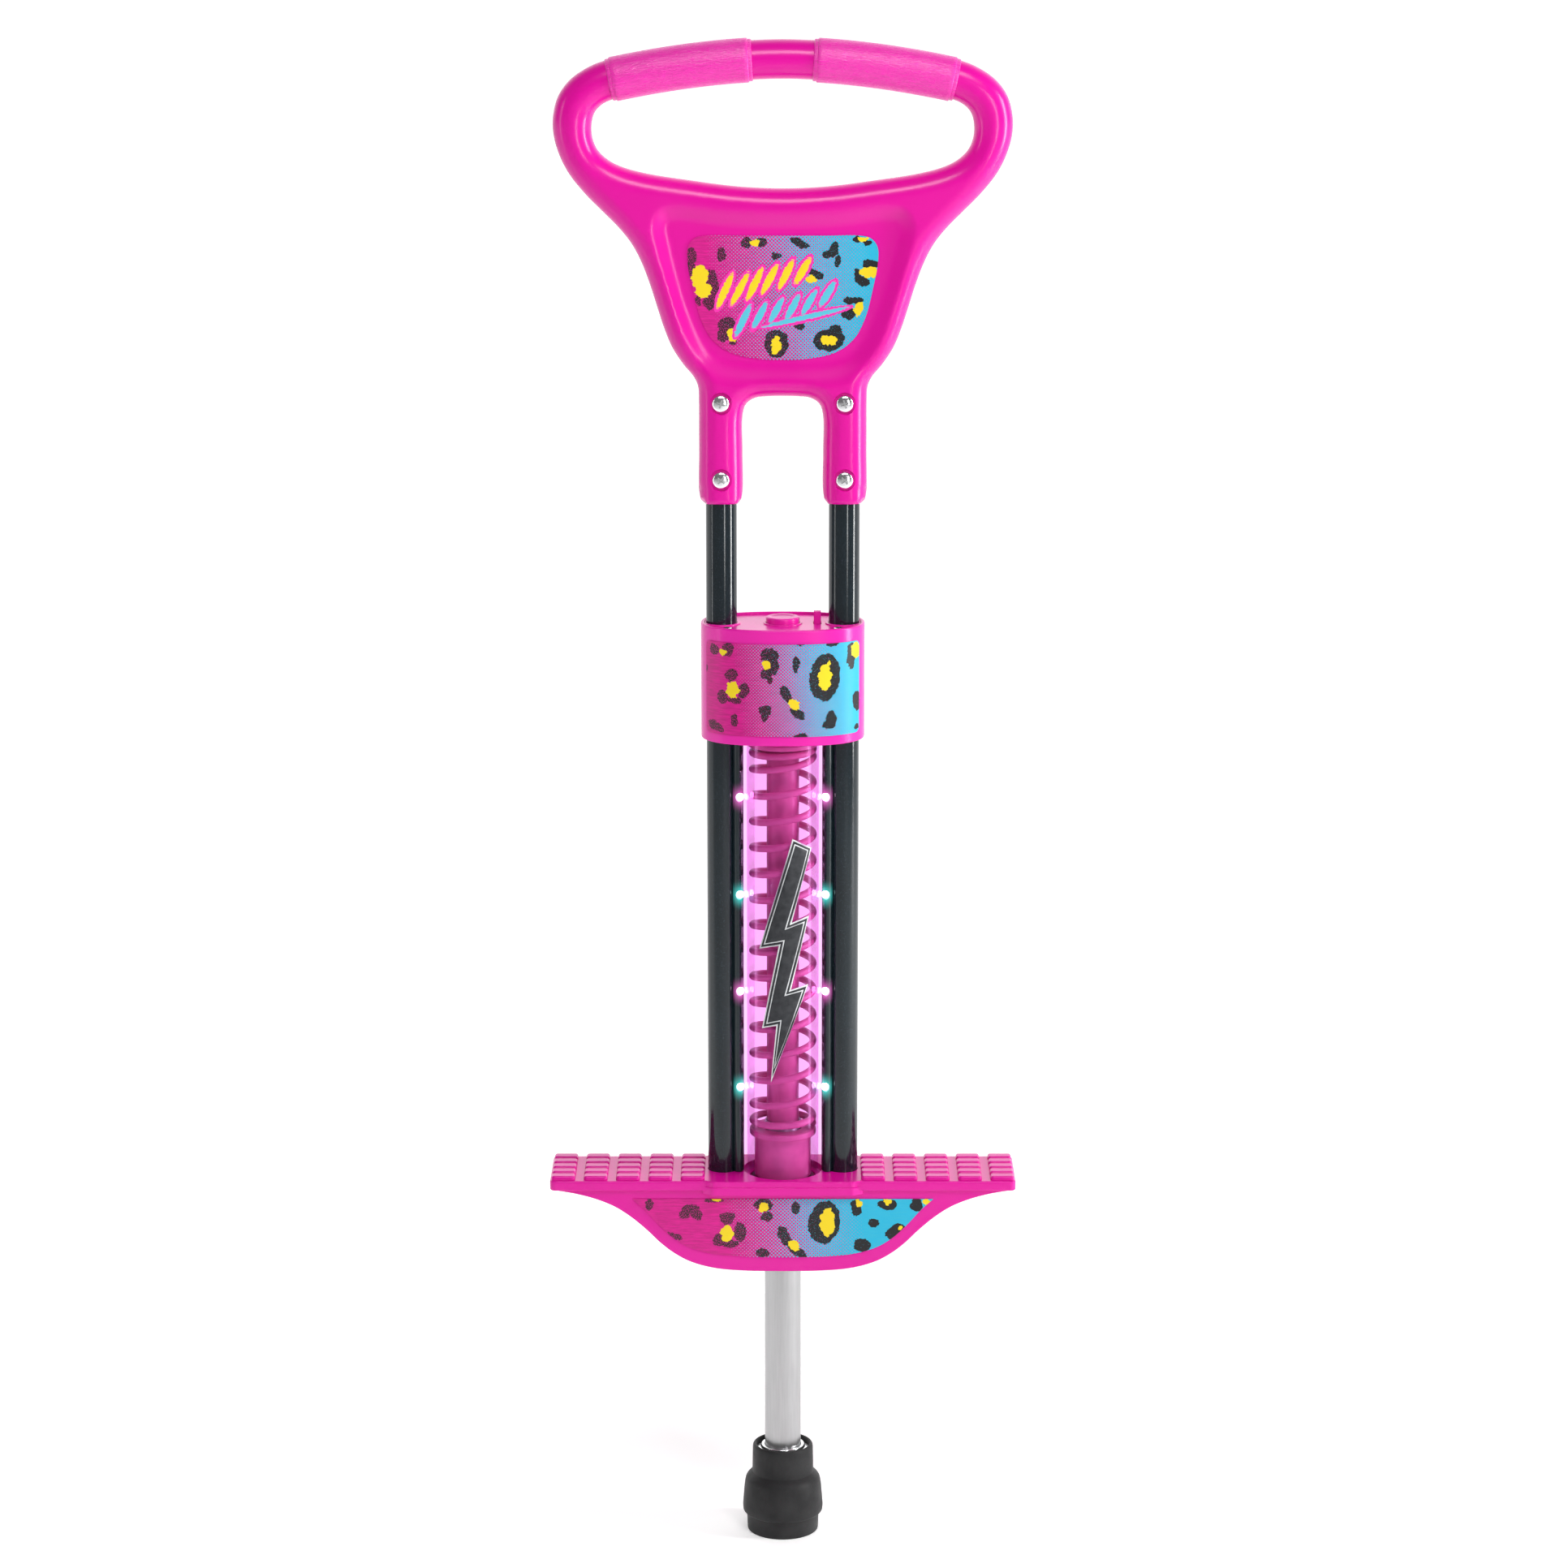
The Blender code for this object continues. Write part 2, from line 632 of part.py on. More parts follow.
def make_lid(pink):
    low = LID_TOP - LID_THICK
    raised = LID_TOP + 0.0008
    lid = oval(HOUSING_WALL + GAP, low, raised, "housing_lid", pink)
    around = oval(HOUSING_WALL - 0.002, LID_TOP, raised + 0.01)
    collars = [
        cylinder(TUBE_R + 0.0022, LID_TOP - 0.01, raised + 0.02, at=(x, 0))
        for x in (-TUBE_X, TUBE_X)
    ]
    collars.append(cylinder(BUTTON_R + 0.0016, LID_TOP - 0.01, raised + 0.02))
    cut(around, *collars)
    cut(lid, around)
    cutters = [cylinder(BUTTON_R + GAP, low - 0.01, LID_TOP + 0.01)]
    for x in (-TUBE_X, TUBE_X):
        cutters.append(cylinder(TUBE_R + GAP, low - 0.01, LID_TOP + 0.01, at=(x, 0)))
    for x in (-LID_SCREW_X, LID_SCREW_X):
        at = (x, LID_SCREW_Y)
        seat = LID_TOP - 0.0010
        cutters.append(cylinder(SMALL_SCREW_HOLE_R, low - 0.01, LID_TOP + 0.01, at=at, segments=12))
        cutters.append(cylinder(SMALL_SCREW_SEAT_R, seat, LID_TOP + 0.01, at=at, segments=12))
    reach = LEVER_W / 2 + GAP
    slot_low = (LEVER_X - reach, -LEVER_W / 2 - GAP, low - 0.01)
    slot_high = (LEVER_X + reach, LEVER_W / 2 + GAP + LEVER_TRAVEL, LID_TOP + 0.01)
    cutters.append(box(slot_low, slot_high))
    cut(lid, *cutters)


def make_button(pink):
    """The cap stands on the lid; its flange keeps it in, and its stem reaches the switch."""
    flange_top = LID_TOP - LID_THICK - GAP
    flange_low = flange_top - 0.0010
    stem_low = BOARD_Z + BOARD_THICK + 0.0035 + BUTTON_TRAVEL + GAP
    profile = [
        (0, stem_low), (0.0030, stem_low), (0.0030, flange_low), (BUTTON_R + 0.0014, flange_low),
        (BUTTON_R + 0.0014, flange_top), (BUTTON_R, flange_top), (BUTTON_R, BUTTON_TOP - 0.0014),
        (BUTTON_R - 0.0004, BUTTON_TOP - 0.0004), (BUTTON_R - 0.0013, BUTTON_TOP),
        (BUTTON_R - 0.0030, BUTTON_TOP - 0.0002), (0, BUTTON_TOP - 0.0003),
    ]  # fmt: skip
    turned(profile, "push_button", pink, sharp=50)


def make_lever(pink):
    low = BOARD_Z + BOARD_THICK + 0.0016 + GAP
    half = LEVER_W / 2
    box((LEVER_X - half, -half, low), (LEVER_X + half, half, LEVER_TOP), "switch_lever", pink, 0.0004, 1)


def make_board(green):
    """The circuit board with its button switch, slide switch and sound chip."""
    top = BOARD_Z + BOARD_THICK
    board = box((-0.0245, -0.0215, BOARD_Z), (0.0265, 0.0078, top), "circuit_board", green)
    button_switch = box((-0.0030, -0.0030, top - 0.0005), (0.0030, 0.0030, top + 0.0035))
    slide_switch = box((LEVER_X - 0.0038, -0.0055, top - 0.0005), (LEVER_X + 0.0038, 0.0072, top + 0.0016))
    chip = box((-0.0170, -0.0150, top - 0.0005), (-0.0070, -0.0080, top + 0.0015))
    join(board, button_switch, slide_switch, chip)


def battery_centres():
    return [(i - 1) * BATTERY_PITCH for i in range(3)]


def make_battery_tray(black):
    low = HOUSING_BOTTOM + HOUSING_FLOOR + 0.0065
    tray = box((-0.0195, 0.0088, low), (0.0195, 0.0220, BATTERY_BOTTOM + 0.034), "battery_tray", black)
    bores = []
    for x in battery_centres():
        bores.append(cylinder(BATTERY_R + GAP, BATTERY_BOTTOM - GAP, 0.6, at=(x, BATTERY_Y), segments=16))
    cut(tray, *bores)


def make_batteries(metal):
    for i, x in enumerate(battery_centres()):
        top = BATTERY_BOTTOM + BATTERY_LENGTH
        profile = [
            (0, BATTERY_BOTTOM), (BATTERY_R, BATTERY_BOTTOM), (BATTERY_R, top - 0.0010),
            (0.0019, top - 0.0010), (0.0019, top), (0, top),
        ]  # fmt: skip
        turned(profile, f"battery_{i + 1}", metal, 16, Matrix.Translation((x, BATTERY_Y, 0)))


def make_wire(side, red):
    at = (SIDES[side] * WIRE_X, WIRE_Y)
    cylinder(WIRE_SLEEVE_R, RAIL_TOP + GAP, BOARD_Z - GAP, f"led_wire_{side}", red, at=at, segments=8)


def housing_arc(count=400):
    """Front half of the housing's oval as (arc length from the middle, point)."""
    points = []
    for i in range(count + 1):
        angle = -math.pi * i / count
        x = HOUSING_A * math.copysign(abs(math.cos(angle)) ** (2 / HOUSING_POWER), math.cos(angle))
        y = -HOUSING_B * abs(math.sin(angle)) ** (2 / HOUSING_POWER)
        points.append(Vector((x, y)))
    lengths = [0.0]
    for p, q in zip(points, points[1:]):
        lengths.append(lengths[-1] + (q - p).length)
    middle = lengths[-1] / 2
    return [(middle - length, point) for length, point in zip(lengths, points)]


def on_housing(u, v, depth, arc):
    """Bends a flat label point onto the front of the housing."""
    for (before, p), (after, q) in zip(arc, arc[1:]):
        if after <= u <= before:
            share = (before - u) / (before - after)
            spot = p.lerp(q, share)
            along = (q - p).normalized()
            out = Vector((along.y, -along.x))
            if out.dot(spot) < 0:
                out = -out
            spot = spot + out * depth
            return Vector((spot.x, spot.y, v))
    raise ValueError("label point lies off the housing")


def rounded_rectangle(half_width, low, high, radius, steps=4):
    outline = []
    corners = (
        (half_width - radius, low + radius, -90), (half_width - radius, high - radius, 0),
        (-half_width + radius, high - radius, 90), (-half_width + radius, low + radius, 180),
    )  # fmt: skip
    for x, z, start in corners:
        for i in range(steps + 1):
            angle = math.radians(start + 90 * i / steps)
            outline.append((x + radius * math.cos(angle), z + radius * math.sin(angle)))
    return outline


def make_housing_label(printed):
    arc = housing_arc()

    def wrap(u, v, depth):
        return on_housing(u, v, depth + GAP, arc)

    outline = rounded_rectangle(
        HOUSING_LABEL_HALF, HOUSING_LABEL_LOW, HOUSING_LABEL_HIGH, HOUSING_LABEL_CORNER_R
    )
    wrapped_sheet(outline, wrap, "housing_label", printed, spacing=0.0045)


# ---- spring column ----


def make_clear_tube(clear):
    profile = [
        (CLEAR_R - CLEAR_WALL, CLEAR_BOTTOM), (CLEAR_R, CLEAR_BOTTOM),
        (CLEAR_R, CLEAR_TOP), (CLEAR_R - CLEAR_WALL, CLEAR_TOP),
    ]  # fmt: skip
    turned(profile, "clear_tube", clear, 32)


def rail_section(sign):
    """Two-lobed strip between the clear tube and a frame tube, seen from above."""
    inner = CLEAR_R + GAP
    outer = TUBE_R + GAP
    inner_half = math.asin(0.0050 / inner)
    steps = 3
    outline = []
    for i in range(-steps, steps + 1):
        angle = inner_half * i / steps
        outline.append((inner * math.cos(angle), inner * math.sin(angle)))
    back_lobe = [(0.0252, 0.0076), (0.0270, 0.0094), (0.0293, 0.0092)]
    outline += back_lobe
    reach = math.radians(47)
    for i in range(-steps, steps + 1):
        angle = -reach * i / steps
        outline.append((TUBE_X - outer * math.cos(angle), outer * math.sin(angle)))
    outline += [(x, -y) for x, y in reversed(back_lobe)]
    return [(sign * x, y) for x, y in outline]


def led_heights():
    return [LED_TOP_Z - i * LED_PITCH for i in range(4)]


def make_rail(side, black):
    sign = SIDES[side]
    rail = prism(rail_section(sign), RAIL_BOTTOM, RAIL_TOP, f"led_rail_{side}", black)
    slot_x = sorted((sign * 0.0259, sign * 0.0273))
    cutters = [box((slot_x[0], -0.0052, RAIL_BOTTOM - 0.01), (slot_x[1], 0.0052, RAIL_TOP + 0.01))]
    for z in led_heights():
        cutters.append(cylinder(LED_R + GAP, -0.02, -0.0050, at=(sign * LED_X, z), along="Y", segments=10))
    cut(rail, *cutters)


def make_led_strip(side, green):
    xs = sorted((SIDES[side] * 0.0262, SIDES[side] * 0.0270))
    box((xs[0], -0.0048, RAIL_BOTTOM + 0.001), (xs[1], 0.0048, RAIL_TOP - 0.001), f"led_strip_{side}", green)


def make_leds():
    colours = (("magenta", (1.0, 0.15, 0.75)), ("cyan", (0.1, 0.95, 0.9)))
    for side, sign in SIDES.items():
        for i, z in enumerate(led_heights()):
            word, colour = colours[i % 2]
            glow = material(f"led_{word}", colour, 0.2)
            dome = [(LED_R * math.cos(a), 0.0088 + LED_R * 0.9 * math.sin(a)) for a in (0, 0.7)]
            profile = [(0, 0.0053), (LED_R, 0.0053), *dome, (0, 0.0106)]
            place = Matrix.Translation((sign * LED_X, 0, z)) @ Matrix.Rotation(math.pi / 2, 4, "X")
            turned(profile, f"led_{side}_{i + 1}", glow, 8, place)


def bolt_flash_outline():
    """A plain upright lightning flash."""
    points = [
        (6.0, 462.0), (-15.5, 391.0), (-2.5, 394.0), (-13.5, 340.0), (-4.0, 342.5),
        (-7.5, 305.5), (17.0, 368.0), (5.0, 365.5), (17.5, 412.0), (5.5, 408.5), (19.5, 455.0),
    ]  # fmt: skip
    return in_metres(points)


def make_tube_decal(printed):
    radius = CLEAR_R + GAP

    def wrap(u, v, depth):
        angle = u / radius
        reach = radius + depth
        return Vector((reach * math.sin(angle), -reach * math.cos(angle), v))

    wrapped_sheet(bolt_flash_outline(), wrap, "tube_decal", printed, spacing=0.0035)


def make_top_seat(steel):
    top = CLEAR_TOP
    low = SPRING_TOP + GAP
    inner = ROD_R + GAP
    outer = CLEAR_R - CLEAR_WALL - GAP
    profile = [
        (inner, low - 0.0060), (0.0155, low - 0.0060), (0.0158, low), (outer, low),
        (outer, top), (inner, top),
    ]  # fmt: skip
    turned(profile, "top_spring_seat", steel)


def make_guide_rod(steel):
    profile = [
        (0, ROD_BOTTOM), (ROD_R - 0.002, ROD_BOTTOM), (ROD_R, ROD_BOTTOM + 0.002),
        (ROD_R, ROD_TOP), (0, ROD_TOP),
    ]  # fmt: skip
    turned(profile, "guide_rod", steel)


def make_rod_nut(steel):
    low = HOUSING_BOTTOM + HOUSING_FLOOR + GAP
    nut = cylinder(0.0165, low, low + 0.0055, "guide_rod_nut", steel, segments=6)
    cut(nut, cylinder(ROD_R + GAP, 0.5, 0.6))


def spring_height(turn):
    """Height of the wire's centre: flat closed turns at both ends, even pitch between."""
    flat = 1.0
    low = SPRING_BOTTOM + WIRE_R
    high = SPRING_TOP - WIRE_R
    closed_pitch = 2 * WIRE_R + 0.0001
    rise = (high - low - 2 * flat * closed_pitch) / (SPRING_TURNS - 2 * flat)
    if turn <= flat:
        return low + closed_pitch * turn
    if turn >= SPRING_TURNS - flat:
        return high - closed_pitch * (SPRING_TURNS - turn)
    return low + closed_pitch * flat + rise * (turn - flat)


def make_spring(painted):
    bm = bmesh.new()
    steps = 9
    sides = 4
    rings = []
    for i in range(SPRING_TURNS * steps + 1):
        turn = i / steps
        angle = 2 * math.pi * turn
        out = Vector((math.cos(angle), math.sin(angle), 0))
        centre = out * SPRING_R + Vector((0, 0, spring_height(turn)))
        ring = []
        for k in range(sides):
            spin = 2 * math.pi * k / sides
            spot = centre + WIRE_R * (math.cos(spin) * out + math.sin(spin) * Vector((0, 0, 1)))
            ring.append(bm.verts.new(spot))
        rings.append(ring)
    for ring, following in zip(rings, rings[1:]):
        for k in range(sides):
            j = (k + 1) % sides
            bm.faces.new((ring[k], ring[j], following[j], following[k]))
    bm.faces.new(rings[0])
    bm.faces.new(rings[-1])
    finish(bm, "spring", painted)


# ---- sprung leg ----


def make_shaft(steel):
    groove_low = CUP_BOTTOM + 0.0008
    groove_high = groove_low + 0.0020
    profile = [
        (SHAFT_BORE_R, SHAFT_BOTTOM), (SHAFT_R, SHAFT_BOTTOM), (SHAFT_R, groove_low),
        (0.0110, groove_low), (0.0110, groove_high), (SHAFT_R, groove_high),
        (SHAFT_R, SHAFT_TOP - 0.0006), (SHAFT_R - 0.0005, SHAFT_TOP), (SHAFT_BORE_R, SHAFT_TOP),
    ]  # fmt: skip
    turned(profile, "shaft", steel)


def make_cup(steel):
    inner = SHAFT_R + GAP
    profile = [
        (inner, CUP_BOTTOM + 0.0032), (0.0148, CUP_BOTTOM + 0.0032), (0.0148, CUP_BOTTOM),
        (0.0158, CUP_BOTTOM), (0.0171, CUP_BOTTOM + 0.0009), (CUP_BODY_R, CUP_BOTTOM + 0.0028),
        (CUP_BODY_R, 0.2652), (CUP_RIM_R, 0.2656), (CUP_RIM_R, SPRING_BOTTOM - GAP),
        (inner, SPRING_BOTTOM - GAP),
    ]  # fmt: skip
    turned(profile, "spring_cup", steel)


def make_circlip(steel):
    low = CUP_BOTTOM + 0.0010
    profile = [(0.0112, low), (0.0143, low), (0.0143, low + 0.0016), (0.0112, low + 0.0016)]
    ring = turned(profile, "shaft_circlip", steel)
    cut(ring, box((-0.0020, -0.02, low - 0.01), (0.0020, 0.0, low + 0.01)))


def make_foot(rubber):
    bore = SHAFT_R + GAP
    profile = in_metres([
        (0, 1.5), (7.0, 1.5), (7.6, 0), (12.8, 0), (13.3, 1.2), (15.0, 1.2), (15.5, 0), (21.8, 0),
        (22.9, 1.2), (23.1, 13.1), (24.7, 13.7), (25.5, 15.2), (25.5, 21.0), (24.8, 28.0),
        (23.7, 31.2), (20.5, 38.4), (19.7, 40.6), (19.6, 55.4), (19.2, 56.8), (18.3, 57.7),
        (17.4, 57.4), (16.9, 56.4), (16.9, 53.0),
    ])  # fmt: skip
    profile += [(bore, 0.0530), (bore, SHAFT_BOTTOM - GAP), (0, SHAFT_BOTTOM - GAP)]
    turned(profile, "rubber_foot", rubber)


def make_foot_washer(steel):
    inner = SHAFT_R + GAP
    profile = [
        (inner, 0.0533), (0.0165, 0.0533), (0.0165, 0.0549), (0.0140, 0.0552),
        (0.0136, 0.0572), (inner, 0.0574),
    ]  # fmt: skip
    turned(profile, "foot_washer", steel)


# ---- footplate ----


def skirt_edge():
    """Right half of the skirt's lower edge, from the middle out to the wing's tip."""
    points = [
        (0.0, 181.5), (24.0, 181.9), (40.0, 183.2), (52.0, 185.8), (61.0, 189.2), (69.9, 194.6),
        (77.5, 200.8), (85.1, 208.4), (95.0, 217.0), (105.4, 224.0), (117.0, 229.0),
        (130.0, 232.6), (143.5, 235.0),
    ]  # fmt: skip
    return smooth_path(in_metres(points), 2)


def make_footplate(pink):
    plate_low = PLATE_TOP - PLATE_THICK
    plate = box(
        (-PLATE_HALF_X, -PLATE_HALF_Y, plate_low), (PLATE_HALF_X, PLATE_HALF_Y, PLATE_TOP),
        "footplate", pink, 0.0012, 1,
    )  # fmt: skip
    corner = BLOCK_HALF_Y
    block_outline = [
        (0.0505, -0.0262), (0.0505, 0.0262), (0.0440, corner), (-0.0440, corner),
        (-0.0505, 0.0262), (-0.0505, -0.0262), (-0.0440, -corner), (0.0440, -corner),
    ]  # fmt: skip
    block = prism(block_outline, BLOCK_BOTTOM, BLOCK_TOP)
    edge = skirt_edge()
    top = PLATE_TOP - 0.003
    skirt_half = [(0.0, top), (0.1420, top), *[(p[0], p[1]) for p in reversed(edge)]]
    skirt = prism(mirrored([tuple(p) for p in skirt_half]), -SKIRT_HALF_Y, SKIRT_HALF_Y, along="Y")
    cut(skirt, *skirt_bays(plate_low))
    bosses = [
        cylinder(0.0185, SKIRT_BOTTOM + 0.0010, BLOCK_BOTTOM + 0.002),
        cylinder(0.0238, 0.2265, BLOCK_BOTTOM + 0.002),
    ]
    for x in (-TUBE_X, TUBE_X):
        bosses.append(cylinder(0.0128, TUBE_BOTTOM - 0.0035, BLOCK_BOTTOM + 0.002, at=(x, 0)))
    join(plate, block, skirt, *bosses)
    join(plate, *ridges())
    cutters = [
        cylinder(CLEAR_R + GAP, CLEAR_BOTTOM - GAP, BLOCK_TOP + 0.01, segments=32),
        cylinder(0.0208, 0.2310, BLOCK_TOP),
        cylinder(BUSH_R + GAP, 0.15, 0.2320),
    ]
    for x in (-TUBE_X, TUBE_X):
        cutters.append(cylinder(TUBE_R + GAP, TUBE_BOTTOM - GAP, BLOCK_TOP + 0.01, at=(x, 0)))
        hole_at = (x, PLATE_BOLT_Z)
        cutters.append(cylinder(BOLT_R + GAP, -0.0105, 0.03, at=hole_at, along="Y", segments=10))
        cutters.append(cylinder(BOLT_SEAT_R, SKIRT_HALF_Y - 0.0012, 0.04, at=hole_at, along="Y", segments=14))
    cut(plate, *cutters)


def skirt_bays(plate_low):
    """Open bays under the plate, parted by ribs across it."""
    inner = SKIRT_HALF_Y - SKIRT_WALL
    ribs = (0.0, 0.0590, 0.0800, 0.1010, 0.1220, 0.1440)
    half_rib = 0.0011
    bays = []
    for start, end in zip(ribs, ribs[1:]):
        for sign in (-1, 1):
            xs = sorted((sign * (start + half_rib), sign * (end - half_rib)))
            bays.append(box((xs[0], -inner, 0.15), (xs[1], inner, plate_low + 0.0006)))
    return bays


def ridges():
    """Rows of rounded tread bars on both wings."""
    bars = []
    for sign in (-1, 1):
        for column in range(RIDGE_COLUMNS):
            x = sign * (RIDGE_FIRST_X + column * RIDGE_PITCH_X)
            for row in range(RIDGE_ROWS):
                y = (row - (RIDGE_ROWS - 1) / 2) * RIDGE_PITCH_Y
                bars.append(ridge(x, y))
    return bars


def ridge(x, y):
    """A tread bar with sloped sides, its foot sunk into the plate."""
    bm = bmesh.new()
    rings = []
    for inset, z in ((0.0, PLATE_TOP - 0.0005), (0.0012, PLATE_TOP + RIDGE_HEIGHT)):
        half_x = RIDGE_LENGTH / 2 - inset
        half_y = RIDGE_WIDTH / 2 - inset
        corners = ((-1, -1), (1, -1), (1, 1), (-1, 1))
        rings.append([bm.verts.new((x + a * half_x, y + b * half_y, z)) for a, b in corners])
    bm.faces.new(rings[0])
    bm.faces.new(rings[1])
    for k in range(4):
        j = (k + 1) % 4
        bm.faces.new((rings[0][k], rings[0][j], rings[1][j], rings[1][k]))
    return finish(bm, "ridge")


def make_plate_bolt(side, chrome):
    x = SIDES[side] * TUBE_X
    seat = SKIRT_HALF_Y - 0.0012 + GAP
    place = Matrix.Translation((x, seat, PLATE_BOLT_Z)) @ Matrix.Rotation(-math.pi / 2, 4, "X")
    turned(bolt_profile(seat + 0.0100), f"plate_bolt_{side}", chrome, 14, place)


def make_bushing(black):
    inner = SHAFT_R + 0.0002
    profile = [
        (inner, SKIRT_BOTTOM + 0.0005), (BUSH_R, SKIRT_BOTTOM + 0.0005), (BUSH_R, 0.2313),
        (0.0204, 0.2313), (0.0204, 0.2330), (inner, 0.2330),
    ]  # fmt: skip
    turned(profile, "lower_bushing", black)


def make_bumper(rubber):
    inner = SHAFT_R + 0.0004
    profile = [
        (inner, 0.2333), (0.0200, 0.2333), (0.0204, 0.2345), (0.0198, BUMPER_TOP),
        (inner + 0.0004, BUMPER_TOP),
    ]  # fmt: skip
    turned(profile, "rebound_bumper", rubber)


def make_skirt_label(printed):
    face_y = -SKIRT_HALF_Y - GAP
    edge = [
        (94.6, 229.6), (87.0, 222.5), (78.0, 212.5), (69.0, 204.0), (59.0, 197.8), (45.0, 193.6),
        (24.0, 191.6), (0.0, 191.2),
    ]  # fmt: skip
    lower = [tuple(p) for p in smooth_path(in_metres(edge), 2)]

    def wrap(u, v, depth):
        return Vector((u, face_y - depth, v))

    wrapped_sheet(mirrored([(0.0, 0.2296), *lower]), wrap, "skirt_label", printed)


def main():
    clear_scene()
    pink = material("pink_plastic", PINK, 0.32)
    housing_pink = material("housing_plastic", HOUSING_PINK, 0.35)
    grip = material("pink_grip", PINK, 0.6)
    black_paint = material("black_paint", BLACK, 0.2)
    black_plastic = material("black_plastic", BLACK, 0.35)
    chrome = material("chrome", (0.85, 0.86, 0.88), 0.12, 1.0)
    satin = material("satin_steel", STEEL, 0.35, 1.0)
    rubber = material("rubber", (0.02, 0.02, 0.021), 0.7)
    clear = material("clear_plastic", (0.95, 0.35, 0.85), 0.08, 0.0, 0.4)
    spring_paint = material("spring_paint", (0.6, 0.05, 0.3), 0.35)
    board_green = material("board_green", (0.02, 0.2, 0.08), 0.5)
    wire_red = material("wire_red", (0.6, 0.02, 0.02), 0.5)
    battery_metal = material("battery_metal", (0.3, 0.3, 0.32), 0.3, 0.8)
    printed = material("printed_label", (0.6, 0.2, 0.7), 0.4)
    decal = material("decal_print", (0.06, 0.07, 0.08), 0.4)

    make_handle(pink)
    for side, sign in SIDES.items():
        make_grip(sign, f"grip_{side}", grip)
        make_frame_tube(side, f"frame_tube_{side}", black_paint)
        make_rail(side, black_plastic)
        make_led_strip(side, board_green)
        make_wire(side, wire_red)
        make_plate_bolt(side, chrome)
    make_handle_label(printed)
    make_handle_bolts(chrome)

    make_housing(housing_pink)
    make_battery_door(housing_pink)
    make_lid(housing_pink)
    make_button(housing_pink)
    make_lever(housing_pink)
    make_board(board_green)
    make_battery_tray(black_plastic)
    make_batteries(battery_metal)
    make_housing_label(printed)
    for side, sign in SIDES.items():
        place = Matrix.Translation((sign * LID_SCREW_X, LID_SCREW_Y, LID_TOP - 0.0010 + GAP))
        make_small_screw(f"lid_screw_{side}", place, 0.0080, satin)
    door_face = HOUSING_B
    place = Matrix.Translation((0, door_face + GAP, DOOR_SCREW_Z)) @ Matrix.Rotation(-math.pi / 2, 4, "X")
    make_small_screw("door_screw", place, 0.0070, satin)

    make_clear_tube(clear)
    make_leds()
    make_tube_decal(decal)
    make_top_seat(satin)
    make_guide_rod(satin)
    make_rod_nut(satin)
    make_spring(spring_paint)

    make_shaft(satin)
    make_cup(satin)
    make_circlip(satin)
    make_foot(rubber)
    make_foot_washer(chrome)

    make_footplate(pink)
    make_bushing(black_plastic)
    make_bumper(rubber)
    make_skirt_label(printed)


main()
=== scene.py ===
"""The visual model of the twin-tube pogo stick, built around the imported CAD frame.

Metres, +Z up, the front with the labels faces -Y. Every visible piece is made here in mesh code
and rides on the CAD body that it belongs to; hidden inner nodes keep their CAD shape and get a
material. Nothing is read but the frame.
"""

import math

import bmesh
import bpy
import numpy as np
from mathutils import Matrix, Vector
from mathutils.geometry import delaunay_2d_cdt


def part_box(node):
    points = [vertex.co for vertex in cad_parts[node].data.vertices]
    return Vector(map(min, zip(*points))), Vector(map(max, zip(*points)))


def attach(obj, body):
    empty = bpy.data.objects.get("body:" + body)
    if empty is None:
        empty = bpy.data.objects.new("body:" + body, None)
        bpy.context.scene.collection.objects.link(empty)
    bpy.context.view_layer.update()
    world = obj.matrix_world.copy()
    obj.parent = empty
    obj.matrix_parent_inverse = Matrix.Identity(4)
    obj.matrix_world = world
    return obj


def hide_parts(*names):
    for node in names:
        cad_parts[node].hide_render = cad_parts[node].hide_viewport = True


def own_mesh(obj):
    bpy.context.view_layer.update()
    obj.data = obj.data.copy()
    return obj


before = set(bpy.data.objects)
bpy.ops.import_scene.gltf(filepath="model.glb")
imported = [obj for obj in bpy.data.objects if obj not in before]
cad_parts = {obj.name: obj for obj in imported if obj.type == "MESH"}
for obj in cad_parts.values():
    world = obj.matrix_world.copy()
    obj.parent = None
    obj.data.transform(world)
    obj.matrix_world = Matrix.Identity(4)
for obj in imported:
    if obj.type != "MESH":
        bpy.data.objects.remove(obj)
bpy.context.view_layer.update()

# fmt: off

MM = 0.001
GAP = 0.0003
FINE = 64  # sides of a round piece
SIDES = {"left": -1, "right": 1}

# ---- sizes read from the frame ----


def low(node):
    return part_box(node)[0]


def high(node):
    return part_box(node)[1]


TUBE_X = (low("frame_tube_right").x + high("frame_tube_right").x) / 2
TUBE_R = (high("frame_tube_right").x - low("frame_tube_right").x) / 2
TUBE_BOTTOM = low("frame_tube_right").z
TUBE_TOP = high("frame_tube_right").z
TOTAL_HEIGHT = high("handle_body").z
HOUSING_A = high("housing_body").x
HOUSING_B = high("housing_body").y
HOUSING_BOTTOM = low("housing_body").z
HOUSING_TOP = high("housing_body").z
LID_RAISED = high("housing_lid").z  # the collars round the tubes and the button
LID_TOP = LID_RAISED - 0.0008
LID_LEDGE = LID_TOP - 0.0028
CLEAR_R = high("clear_tube").x
CLEAR_BOTTOM = low("clear_tube").z
CLEAR_TOP = high("clear_tube").z
SPRING_BOTTOM = low("spring").z
SPRING_TOP = high("spring").z
PLATE_HALF_X = high("footplate").x
SKIRT_BOTTOM = low("footplate").z

# ---- the other sizes ----

